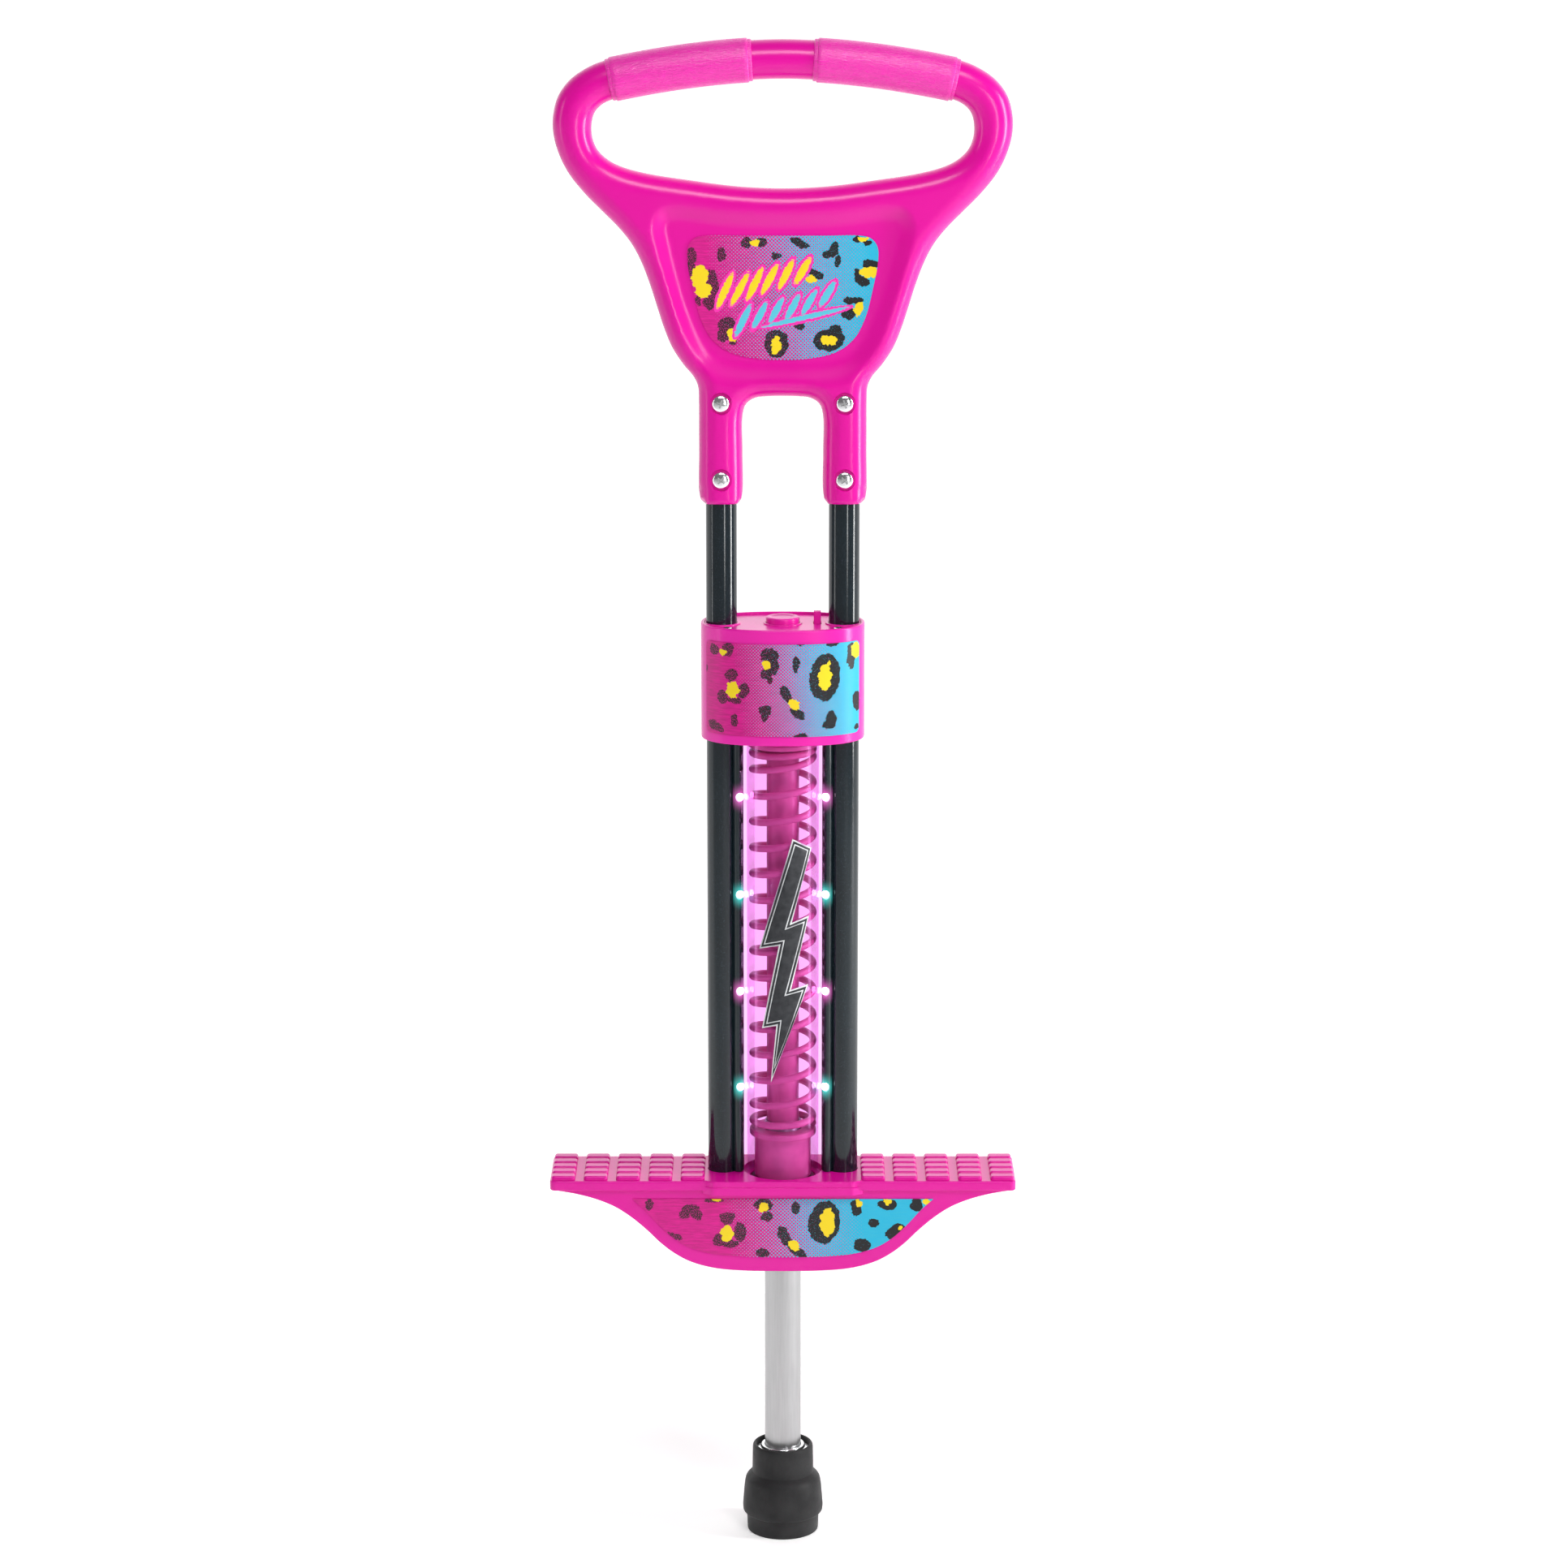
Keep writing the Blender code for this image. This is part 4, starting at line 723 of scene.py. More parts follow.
SKIRT_YELLOW = (
    (-42, 19, 3, 1.2), (-35, -3, 4, 5.2), (-12, 14, 3, 2.8), (7, -11, 3.4, 3.8, 20),
    (28, 4, 4.6, 9.5), (48, 17, 2, 2.4), (66, 18, 2.6, 2.4), (74, 1, 2, 1.6),
    (90, 18, 2.6, 1.6),
)
SKIRT_BLACK = (
    (-84, 16, 2.4, 4.4), (-58, 13, 5.4, 3.4), (-62, 9, 3.4, 3), (-54, 9, 3.4, 3),
    (-35, 7, 5, 4), (-27, -2, 3.8, 6.2), (-40, -7, 3.8, 4.2), (-33, -10, 6, 2.6),
    (-12, 16, 6, 4.4), (-10, 8, 3.8, 3.4), (8, 14, 2.4, 4), (1, -5, 3.6, 7.2, 25),
    (9, -15, 6.4, 2.8, -30), (26, 4, 9.8, 14, -8), (46, 14, 3.4, 6), (66, 16, 6.4, 3.6),
    (57, 4, 3.4, 3), (71, -2, 7.2, 4.6, 30), (50, -11, 5, 4.6), (84, 16, 4, 4.4),
    (-13, -16, 4.4, 3), (-68, -5, 5.4, 2, -20), (-43, 19, 6.4, 1.8),
)
HANDLE_YELLOW = (
    (-50, 11, 5, 7.5), (-48, 3, 5, 4.5), (-17, 32, 2.5, 2.4), (49, 34, 3.6, 1.6),
    (52, 14, 6, 3.4), (46, -8, 2.8, 4, -20), (17, 10, 3.6, 2), (28, -27, 5.2, 3),
    (-4, -30, 3, 5.4), (-31, -24, 2.4, 4, 20),
)
HANDLE_BLACK = (
    (-55, 24, 3, 5, 10), (-56, 15, 2.2, 7.5, -10), (-42, 7, 3.4, 9.5, 10), (-44, -4, 4, 4.4),
    (-51, -3, 1.6, 3.4), (-37, 25, 2.4, 4.2), (-22, 32, 3.6, 3.2), (-13, 32, 3.6, 3.2),
    (10, 32, 6.4, 2.4, -25), (31, 28, 3, 5, -20), (27, 25, 2.4, 2.2, 30), (33, 21, 1.6, 4, -10),
    (45, 34, 2.2, 2.2), (51, 32, 3, 1.8), (53, 19, 5.4, 2.4), (48, 9, 5, 2.8, -20),
    (45, 13, 2.4, 3.4), (20, 13, 5, 2.2, -25), (43, -3, 6.4, 2.4), (40, -11, 4.4, 4),
    (28, -27, 9.6, 6.8, 10), (32, -21, 4, 3.6), (-4, -29, 7.2, 8.4), (10, -18, 3.4, 3),
    (-34, -18, 5.4, 5), (-36, -24, 3.4, 4.4), (-30, -28, 2.2, 2.2), (-4, 24, 3, 2),
)
YELLOW_STROKES = (
    (-35, 3, 12.5, 2.4, 66), (-26, 4, 12, 2.3, 62), (-17, 7, 11.5, 2.4, 64), (-8, 10, 11, 2.4, 62),
    (2, 13, 10.5, 2.4, 64), (12, 15, 10, 2.5, 60),
)
CYAN_STROKES = (
    (-24, -15, 11.5, 2.3, 64), (-14, -12, 10, 2.3, 62), (-4, -9, 9.5, 2.2, 62), (6, -7, 9.5, 2.3, 62),
    (16, -4, 9.5, 2.2, 60), (27, 1, 9.5, 2.4, 58), (14, -13, 28, 1.7, 13),
)

# A look is the name of its slot and its material.
PINK = "pink_plastic", moulded_plastic("pink_moulding", (0.745, 0.001, 0.326), (0.765, 0.002, 0.338))
HOUSING_PINK = "housing_plastic", moulded_plastic(
    "housing_moulding", (0.82, 0.012, 0.39), (0.84, 0.016, 0.405), 0.25
)
GRIP = "pink_grip", grained_grip("grip_vinyl", (0.74, 0.010, 0.35), (0.93, 0.024, 0.46))
BLACK_PAINT = "black_paint", gloss_paint("black_gloss", (0.004, 0.010, 0.014), (0.09, 0.11, 0.14))
BLACK_PLASTIC = "black_plastic", gloss_paint(
    "black_rail", (0.005, 0.012, 0.016), (0.06, 0.08, 0.10), 0.16, glow=True
)
CHROME = "chrome", brushed_metal(
    "bright_chrome", (0.86, 0.87, 0.89), (0.96, 0.97, 0.98), 0.20, (300.0, 300.0, 300.0)
)
SCREW_STEEL = "satin_steel", CHROME[1]
STEEL = "satin_steel", brushed_metal(
    "satin_leg", (0.44, 0.44, 0.445), (0.49, 0.49, 0.495), 0.34, (900.0, 900.0, 40.0)
)
RUBBER = "rubber", moulded_rubber("foot_rubber")
CLEAR = "clear_plastic", tinted_tube("tinted_tube")
# The rose on the steel rod and spring seats is painted pink light: the cast of the tinted tube and the LEDs.
# On the spring it is its own paint plus that painted cast.
ROSE = "satin_steel", simple_part("rose_painted_light_cast", (0.58, 0.13, 0.31), (0.68, 0.17, 0.37), 0.3, scale=120)
SPRING_ROSE = "spring_paint", ROSE[1]
GREEN = simple_part("board_laminate", (0.01, 0.13, 0.05), (0.02, 0.22, 0.09), 0.4)
RED = simple_part("wire_sleeve", (0.45, 0.01, 0.01), (0.65, 0.02, 0.02), 0.45)
CELL = simple_part("cell_jacket", (0.25, 0.25, 0.27), (0.38, 0.38, 0.4), 0.3, 0.8)
LEDS = {word: (f"led_{word}", led_lens(f"led_lens_{word}", light)) for word, light in LED_LIGHT.items()}
HOUSING_ART = "printed_label", printed_art("housing_print", HOUSING_YELLOW, HOUSING_BLACK, (-32, 47), 2.0)
SKIRT_ART = "printed_label", printed_art("skirt_print", SKIRT_YELLOW, SKIRT_BLACK, (-40, 56), 2.3)
BRUSHED_WORDS = ((YELLOW, YELLOW_STROKES), (PALE_CYAN, CYAN_STROKES))
HANDLE_ART = "printed_label", printed_art(
    "handle_print", HANDLE_YELLOW, HANDLE_BLACK, (-48, 62), 2.2, BRUSHED_WORDS
)
DECAL_DARK = print_ink("decal_dark", (0.022, 0.024, 0.028), (0.040, 0.042, 0.048))
DECAL_PALE = print_ink("decal_pale", (0.62, 0.64, 0.66), (0.80, 0.81, 0.83))
DECAL = "decal_print", DECAL_PALE


# ---- handle ----


def bar_point(x, side):
    """A point of the arched bar's edge: side 1 is above its centre line, -1 below, 0 on it."""
    drop = BAR_DROP * (abs(x) / BAR_END_X) ** BAR_POWER
    slope = -BAR_POWER * drop / abs(x) if x else 0.0
    length = math.hypot(1, slope)
    return (x - side * BAR_R * slope / length, BAR_CENTRE_Z - drop + side * BAR_R / length)


def handle_outline():
    bar = [bar_point(x, 1) for x in (0, 0.018, 0.036, 0.054, 0.072, 0.090, 0.106)]
    side = [
        (118, 931.8), (128, 924.8), (135.2, 915), (138.3, 903), (138.2, 893),
        (135.5, 882), (129.5, 869.5), (119.3, 856.6), (108.9, 846.1), (99.2, 836.3),
        (91.6, 826.7), (85.7, 815.5), (80.6, 802), (76.2, 788), (72, 775),
        (67.2, 763.5), (60.5, 753.3), (54.3, 745.8), (51.7, 740), (51.2, 731),
        (51.2, 715), (51.2, 700), (51.1, 674.5), (49.6, 669.4), (45.5, 667.6), (37.9, 667.6),
        (30.3, 667.6), (26.2, 669.4), (24.7, 674.5), (24.6, 700), (24.5, 722),
        (22.4, 729), (17, 732.8), (9, 733.8), (0, 734),
    ]
    return mirrored([*bar, *in_metres(side)])


def opening_outline():
    bar = [bar_point(x, -1) for x in (0, 0.018, 0.036, 0.054, 0.072, 0.090, 0.105)]
    side = [
        (109, 909.8), (113.2, 905.2), (115, 898.5), (114.7, 891),
        (111.8, 883.5), (106, 877.6), (98, 873.3), (83.4, 869.2), (54.2, 864.6),
        (27, 861.2), (0, 860),
    ]
    return mirrored([*bar, *in_metres(side)])


def recess_outline():
    half = [
        (0, 844.3), (35, 845.6), (62, 848.8), (73, 847.2), (77.5, 839),
        (75.3, 824), (71, 806), (65.3, 786), (58, 765), (50, 752.5),
        (36, 745.6), (0, 743.6),
    ]
    return smooth_path(in_metres(mirrored(half)), 5, closed=True)


def even_steps(outline, step):
    """The same closed outline with points about step apart."""
    ring = np.array([tuple(p) for p in outline])
    closed = np.vstack([ring, ring[:1]])
    along = np.concatenate([[0], np.cumsum(np.linalg.norm(np.diff(closed, axis=0), axis=1))])
    count = int(round(along[-1] / step))
    where = np.linspace(0, along[-1], count, endpoint=False)
    return np.stack([np.interp(where, along, closed[:, k]) for k in (0, 1)], axis=1)


def handle_shell():
    """Front and back skins over one triangulated outline, meeting at its edge."""
    step = 0.0021
    outer = even_steps(smooth_path(handle_outline(), 8, True), step)
    opening = even_steps(smooth_path(opening_outline(), 8, True), step)
    recess = recess_outline()

    def edge_of(points):
        return np.minimum(signed_distance(points, outer), -signed_distance(points, opening))

    kept = []
    for degrees in (9, 18, 28, 39, 51, 64, 77):
        distance = HANDLE_ROUND * (1 - math.cos(math.radians(degrees)))
        for outline, sign in ((outer, 1), (opening, -1)):
            ring, inward = edge_normals(outline)
            moved = ring + sign * inward * distance
            kept.append(moved[edge_of(moved) > 0.985 * distance])
    rows = []
    low_corner, high_corner = outer.min(0), outer.max(0)
    for j, z in enumerate(np.arange(low_corner[1], high_corner[1], step * 0.87)):
        xs = np.arange(low_corner[0], high_corner[0], step) + (j % 2) * step / 2
        rows.append(np.stack([xs, np.full_like(xs, z)], axis=1))
    grid = np.vstack(rows)
    last_ring = HANDLE_ROUND * (1 - math.cos(math.radians(77)))
    kept.append(grid[edge_of(grid) > last_ring + 0.3 * step])
    inner = np.vstack(kept)
    verts = [Vector(p) for p in (*outer, *opening, *inner)]
    loops = [list(range(len(outer))), list(range(len(outer), len(outer) + len(opening)))]
    flat = delaunay_2d_cdt(verts, [], loops, 2, 1e-7)
    points = np.array([tuple(p) for p in flat[0]])
    edge = edge_of(points)
    part = np.clip(edge / HANDLE_ROUND, 0, 1)
    up_leg = points[:, 1] - LEG_BOTTOM
    beside = np.clip((LEG_HALF - np.abs(np.abs(points[:, 0]) - TUBE_X)) / HANDLE_ROUND, 0, 1)
    part = np.where(up_leg < HANDLE_ROUND, beside, part)
    thick = BAR_R * np.sqrt(1 - (1 - part) ** 2)
    thick *= np.sqrt(1 - (1 - np.clip(up_leg / LEG_END_ROUND, 0, 1)) ** 2)
    slope = np.interp(points[:, 1], (0.752, 0.790), (0.0175, RECESS_SLOPE))
    thick -= LABEL_RECESS * smooth_step((signed_distance(points, recess) + 0.27 * slope) / slope)
    bm = bmesh.new()
    skins = []
    for side in (-1, 1):
        row = []
        for (x, z), half, inside in zip(points, thick, edge):
            row.append(bm.verts.new((x, side * half if inside > 1e-6 else 0.0, z)))
        skins.append(row)
    for triangle in flat[2]:
        for row in skins:
            bm.faces.new([row[i] for i in triangle])
    return finish(bm, "handle_moulding", sharp=55)


def make_handle():
    body = handle_shell()
    cutters = []
    for x in (-TUBE_X, TUBE_X):
        profile = rounded([
            (0, LEG_BOTTOM - 0.01), (TUBE_R + 0.004, LEG_BOTTOM - 0.01), (TUBE_R + GAP + 0.0008, LEG_BOTTOM),
            (TUBE_R + GAP, LEG_BOTTOM + 0.0012), (TUBE_R + GAP, TUBE_TOP + GAP), (0, TUBE_TOP + GAP),
        ])
        cutters.append(turned(profile, place=at(x), segments=48))
        for z in BOLT_HEIGHTS.values():
            for towards in (-1, 1):
                mouth = [
                    (0, BOLT_SEAT_Y), (BOLT_SEAT_R, BOLT_SEAT_Y), (BOLT_SEAT_R, BAR_R - 0.0006),
                    (BOLT_SEAT_R + 0.0007, BAR_R + 0.0004), (BOLT_SEAT_R + 0.0007, 0.02), (0, 0.02),
                ]
                cutters.append(turned(mouth, place=facing(x, 0, z, towards), segments=40))
    cut(body, gather("handle_cutters", *cutters))
    body.data.set_sharp_from_angle(angle=math.radians(50))
    show(body, PINK, "handle_body")


def make_grip(side):
    """A sleeve moulded around the arched bar, with a stepped collar at each end."""
    sign = SIDES[side]
    length = GRIP_END_X - GRIP_START_X
    collar, step, edge = 0.0022, 0.0007, 0.0006
    marks = [0.0, edge * 0.3, edge, collar, collar + 0.0002, collar + 0.0006]
    shrink = [step + 0.0005, step + 0.0002, step, step, 0.0003, 0.0]
    middle = list(np.linspace(0.005, length - 0.005, 44))
    stations = [*zip(marks, shrink), *[(s, 0.0) for s in middle]]
    stations += [(length - s, d) for s, d in reversed(list(zip(marks, shrink)))]
    segments = 56
    inner = BAR_R + 0.0003
    bm = bmesh.new()
    layer = bm.loops.layers.uv.new("flat")
    outside, inside = [], []
    for along, less in stations:
        x = GRIP_START_X + along
        across, height = bar_point(x, 0)
        top_x, top_z = bar_point(x, 1)
        up = Vector((top_x - across, 0, top_z - height)).normalized()
        centre = Vector((across, 0, height))
        for radius, rows in ((GRIP_R - less, outside), (inner, inside)):
            ring = []
            for k in range(segments):
                angle = 2 * math.pi * k / segments
                spot = centre + radius * (math.cos(angle) * up + math.sin(angle) * Vector((0, 1, 0)))
                ring.append(bm.verts.new((sign * spot.x, spot.y, spot.z)))
            rows.append((along, ring))
    order = [*outside, *reversed(inside)]
    for (start, ring), (end, following) in zip(order, order[1:] + order[:1]):
        for k in range(segments):
            j = (k + 1) % segments
            face = bm.faces.new((ring[k], ring[j], following[j], following[k]))
            arc = 2 * math.pi * GRIP_R / segments
            corners = ((start, k), (start, k + 1), (end, k + 1), (end, k))
            for loop, (along, turn) in zip(face.loops, corners):
                loop[layer].uv = (along + (0.2 if sign < 0 else 0.0), turn * arc)
    grip = finish(bm, f"grip_sleeve_{side}", 50)
    show(grip, GRIP, f"grip_{side}")


def sheet(outline, wrap, name, spacing, bands=(), thickness=STICKER):
    """A thin sticker from a flat (u, v) outline, bent by wrap(u, v, depth), with its UV in metres.

    bands are nested outlines inside the first; faces within band i get material index i + 1.
    """
    outline = [tuple(p) for p in outline]
    loops = [outline, *bands]
    verts = [Vector(p) for loop in loops for p in loop]
    edges, start = [], 0
    for loop in loops:
        edges += [(start + i, start + (i + 1) % len(loop)) for i in range(len(loop))]
        start += len(loop)
    ring = np.array(outline)
    low_corner, high_corner = ring.min(0), ring.max(0)
    xs = np.arange(low_corner[0] + spacing / 2, high_corner[0], spacing)
    zs = np.arange(low_corner[1] + spacing / 2, high_corner[1], spacing)
    grid = np.array([(x, z) for x in xs for z in zs])
    if len(grid):
        verts += [Vector(p) for p in grid[signed_distance(grid, outline) > spacing * 0.3]]
    flat = delaunay_2d_cdt(verts, edges, [list(range(len(outline)))], 1, 1e-7)
    points = [tuple(p) for p in flat[0]]
    centres = np.array([np.mean([points[i] for i in face], axis=0) for face in flat[2]])
    depth = np.zeros(len(centres), int)
    for band in bands:
        depth += signed_distance(centres, band) > 0
    bm = bmesh.new()
    layer = bm.loops.layers.uv.new("flat")
    skins = [[bm.verts.new(wrap(u, v, d)) for u, v in points] for d in (0.0, thickness)]
    rim = {}
    for face, index in zip(flat[2], depth):
        for skin, order in ((skins[1], face), (skins[0], list(reversed(face)))):
            made = bm.faces.new([skin[i] for i in order])
            made.material_index = int(index)
            for loop, i in zip(made.loops, order):
                loop[layer].uv = points[i]
        for a, b in zip(face, [*face[1:], face[0]]):
            rim[(a, b)] = int(index)
    for (a, b), index in rim.items():
        if (b, a) not in rim:
            made = bm.faces.new((skins[1][a], skins[0][a], skins[0][b], skins[1][b]))
            made.material_index = index
            for loop, i in zip(made.loops, (a, a, b, b)):
                loop[layer].uv = points[i]
    return finish(bm, name, 50)


def flat_label(outline, face_y, middle, name, spacing):
    """A sticker on a flat front face, with its art centred at the height middle."""

    def wrap(u, v, depth):
        return Vector((u, face_y - depth, v + middle))

    return sheet([(u, v - middle) for u, v in outline], wrap, name, spacing)


def make_handle_label():
    half = [
        (0, 832.2), (25, 832.2), (47, 832.2), (53.5, 830.4), (57.2, 825.5), (57.6, 817),
        (54.5, 800), (49.8, 782), (43, 769.5), (32, 761.5), (16, 757.8), (0, 757),
    ]
    outline = smooth_path(in_metres(mirrored(half)), 5, closed=True)
    face_y = -(BAR_R - LABEL_RECESS) - GAP / 2
    label = flat_label(outline, face_y, HANDLE_LABEL_Z, "handle_sticker", 0.004)
    show(label, HANDLE_ART, "handle_label")


# head radius, head height above its brim, shank radius
HANDLE_BOLT = (0.0052, 0.0019, 0.0020)
PLATE_BOLT = (0.0055, 0.0024, 0.0020)
SMALL_SCREW = (0.0027, 0.0008, 0.0013)
BRIM = 0.0007


def bolt_shape(name, place, length, head_r, head_rise, shank_r):
    """A domed screw with a driver's cross, its head's underside at 0 and its shank below."""
    dome = [(head_r * math.cos(a), BRIM + head_rise * math.sin(a)) for a in np.linspace(0, 1.5, 9)]
    profile = [(0, -length), (shank_r * 0.8, -length), (shank_r, -length + 0.0005), (shank_r, 0)]
    profile += [(head_r * 0.94, 0), *dome, (0, BRIM + head_rise)]
    bolt = turned(profile, name, 40, sharp=60)
    reach, width, top = head_r * 0.50, head_r * 0.095, BRIM + head_rise
    arms = [
        box((-reach, -width, top - 0.0013), (reach, width, top + 0.001)),
        box((-width, -reach, top - 0.0013), (width, reach, top + 0.001)),
    ]
    cut(bolt, *arms)
    bolt.data.transform(place)
    return bolt


def nut_shape(name, place, radius, height, hole):
    """A hexagon nut with both faces chamfered round, its foot at 0."""
    chamfer = rounded([
        (0, 0), (radius * 0.88, 0), (radius * 1.01, height * 0.2), (radius * 1.01, height * 0.8),
        (radius * 0.88, height), (0, height),
    ])
    nut = turned(chamfer, name, 48)
    combine(nut, "INTERSECT", cylinder(radius, -0.01, height + 0.01, segments=6))
    cut(nut, cylinder(hole, -0.01, height + 0.01, segments=32))
    nut.data.transform(place)
    return nut


def make_handle_fixings():
    for side, sign in SIDES.items():
        for level, z in BOLT_HEIGHTS.items():
            x = sign * TUBE_X
            seat = BOLT_SEAT_Y + GAP
            turn = Matrix.Rotation(math.radians(17 if level == "upper" else 40) * sign, 4, "Z")
            place = facing(x, -seat, z) @ turn
            bolt = bolt_shape(f"bolt_{level}_{side}", place, seat + 0.0145, *HANDLE_BOLT)
            show(bolt, CHROME, f"handle_bolt_{level}_{side}")
            nut = nut_shape(f"nut_{level}_{side}", facing(x, seat, z, 1), 0.0046, 0.0034, 0.00215)
            show(nut, CHROME, f"handle_nut_{level}_{side}")


def make_frame_tube(side):
    inner = TUBE_R - 0.0013
    profile = rounded([
        (inner, TUBE_BOTTOM), (TUBE_R, TUBE_BOTTOM, 0.0004),
        (TUBE_R, TUBE_TOP, 0.0004), (inner, TUBE_TOP),
    ])
    tube = turned(profile, f"tube_{side}", FINE, at(SIDES[side] * TUBE_X))
    show(tube, BLACK_PAINT, f"frame_tube_{side}")


# ---- light housing ----


def oval_rings(profile):
    """Rings of the housing's oval for an (inset, height) outline."""
    rings = []
    for inset, z in profile:
        outline = superellipse(HOUSING_A - inset, HOUSING_B - inset, HOUSING_POWER, OVAL_SIDES)
        rings.append([(x, y, z) for x, y in outline])
    return rings


def oval(inset, start, end):
    return loft(oval_rings([(inset, start), (inset, end)]), "oval", looped=False)


def drop_cylinders(radius, start, end, centres, segments=48):
    return [cylinder(radius, start, end, at(x, y), segments) for x, y in centres]


ROD_HOLE_R = 0.0104
DOOR = ((-0.0190, 0.0, 0.5350), (0.0190, 0.05, 0.5860))
DOOR_SCREW_Z = 0.5400
TUBE_CENTRES = ((-TUBE_X, 0.0), (TUBE_X, 0.0))


def make_housing():
    floor_top = HOUSING_BOTTOM + 0.0060
    wall, bottom, top = HOUSING_WALL, HOUSING_BOTTOM, HOUSING_TOP
    profile = [
        (wall + 0.004, bottom), (0.0009, bottom), (0.00025, bottom + 0.0003), (0.0, bottom + 0.0010),
        (0.0, top - 0.0011), (0.00018, top - 0.0005), (0.0007, top - 0.0001), (0.0013, top),
        (wall - 0.0004, top - 0.0001), (wall, top - 0.0005), (wall, LID_LEDGE), (wall + 0.0012, LID_LEDGE),
        (wall + 0.0012, floor_top),
    ]
    body = loft(oval_rings(profile), "housing_moulding", looped=False)
    cutters = drop_cylinders(TUBE_R + GAP, bottom - 0.01, top + 0.01, TUBE_CENTRES)
    cutters += drop_cylinders(CLEAR_R + GAP, bottom - 0.01, CLEAR_TOP + GAP, ((0, 0),), FINE)
    rod_hole = cylinder(ROD_HOLE_R, bottom, floor_top + 0.01)
    cut(body, gather("housing_cutters", *cutters), rod_hole, box(*DOOR))
    show(weigh(body), HOUSING_PINK, "housing_body")


def make_battery_door():
    """A piece of the wall with rounded edges, three finger ribs and its screw hole."""
    outside = [(0.0, HOUSING_BOTTOM), (0.0, HOUSING_TOP)]
    inside = [(HOUSING_WALL, HOUSING_TOP), (HOUSING_WALL, HOUSING_BOTTOM)]
    wall = loft(oval_rings(outside + inside), "battery_cover")
    inset = Vector((GAP, 0, GAP))
    area = box(Vector(DOOR[0]) + inset, Vector(DOOR[1]) - inset, bevel=0.0012)
    combine(wall, "INTERSECT", area)
    grooves = [
        box((-0.008, HOUSING_B - 0.0007, z), (0.008, HOUSING_B + 0.01, z + 0.0012), bevel=0.0003)
        for z in (0.5740, 0.5768, 0.5796)
    ]
    hole = cylinder(0.0018, 0.02, 0.04, place=facing(0, 0, DOOR_SCREW_Z, 1), segments=32)
    cut(wall, gather("door_cutters", *grooves, hole))
    show(weigh(wall), HOUSING_PINK, "battery_door")


LID_SCREWS = ((-0.0340, -0.0170), (0.0340, -0.0170))
BUTTON_R = 0.0104
LEVER_TRAVEL = 0.004
LEVER_X = (low("switch_lever").x + high("switch_lever").x) / 2
LEVER_HALF = (high("switch_lever").x - low("switch_lever").x) / 2


def make_lid():
    edge = HOUSING_WALL + GAP
    start, raised = LID_TOP - 0.0025, LID_RAISED
    profile = [
        (edge, start), (edge, LID_TOP - 0.0004), (edge + 0.0002, LID_TOP - 0.0001), (edge + 0.0006, LID_TOP),
    ]
    lid = loft(oval_rings(profile), "lid_moulding", looped=False)
    collars = []
    for radius, centres in ((TUBE_R + 0.0022, TUBE_CENTRES), (BUTTON_R + 0.0016, ((0.0, 0.0),))):
        for x, y in centres:
            shape = [(0, start + 0.001), (radius, start + 0.001), (radius, raised, 0.0006), (0, raised)]
            collars.append(turned(rounded(shape), place=at(x, y)))
    collar = gather("lid_collars", *collars)
    combine(collar, "INTERSECT", oval(edge + 0.0001, start - 0.01, raised + 0.01))
    join(lid, collar)
    holes = drop_cylinders(TUBE_R + GAP, start - 0.01, raised + 0.01, TUBE_CENTRES, FINE)
    holes += drop_cylinders(BUTTON_R + GAP, start - 0.01, raised + 0.01, ((0.0, 0.0),), FINE)
    for x, y in LID_SCREWS:
        shape = [
            (0, start - 0.01), (0.0018, start - 0.01), (0.0018, LID_TOP - 0.0010),
            (0.0031, LID_TOP - 0.0010), (0.0031, LID_TOP - 0.0002), (0.0035, LID_TOP + 0.0002),
            (0.0035, raised + 0.01), (0, raised + 0.01),
        ]
        holes.append(turned(shape, segments=32, place=at(x, y)))
    reach = LEVER_HALF + GAP
    slot_end = (LEVER_X + reach, reach + LEVER_TRAVEL, raised + 0.01)
    slot = box((LEVER_X - reach, -reach, start - 0.01), slot_end)
    cut(lid, gather("lid_holes", *holes, slot))
    show(weigh(lid), HOUSING_PINK, "housing_lid")
    for side, (x, y) in zip(SIDES, LID_SCREWS):
        place = at(x, y, LID_TOP - 0.0010 + GAP) @ Matrix.Rotation(0.5, 4, "Z")
        screw = bolt_shape(f"lid_fixing_{side}", place, 0.0080, *SMALL_SCREW)
        show(screw, SCREW_STEEL, f"lid_screw_{side}")
    place = facing(0, HOUSING_B + GAP, DOOR_SCREW_Z, 1)
    screw = bolt_shape("door_fixing", place, 0.0070, *SMALL_SCREW)
    show(screw, SCREW_STEEL, "door_screw")


def make_button():
    bottom, top = low("push_button").z, high("push_button").z
    flange_r = BUTTON_R + 0.0014
    profile = rounded([
        (0, bottom), (0.0030, bottom), (0.0030, LID_LEDGE - 0.0010), (flange_r, LID_LEDGE - 0.0010),
        (flange_r, LID_LEDGE), (BUTTON_R, LID_LEDGE), (BUTTON_R, top, 0.0016),
        (BUTTON_R - 0.0030, top - 0.0001, 0.0008), (BUTTON_R - 0.0042, top - 0.0007, 0.0012),
        (0, top - 0.0009),
    ], 6)
    button = turned(profile, "button_cap", 80, sharp=60)
    show(button, HOUSING_PINK, "push_button", body="button")


def make_lever():
    lever = box(low("switch_lever"), high("switch_lever"), "lever_tab", 0.0005, 4)
    top = high("switch_lever").z
    ribs = [
        box((LEVER_X - 0.01, y, top - 0.0003), (LEVER_X + 0.01, y + 0.0004, top + 0.01))
        for y in (-0.0011, -0.0002, 0.0007)
    ]
    cut(lever, gather("lever_ribs", *ribs))
    show(weigh(lever), HOUSING_PINK, "switch_lever", body="lever")


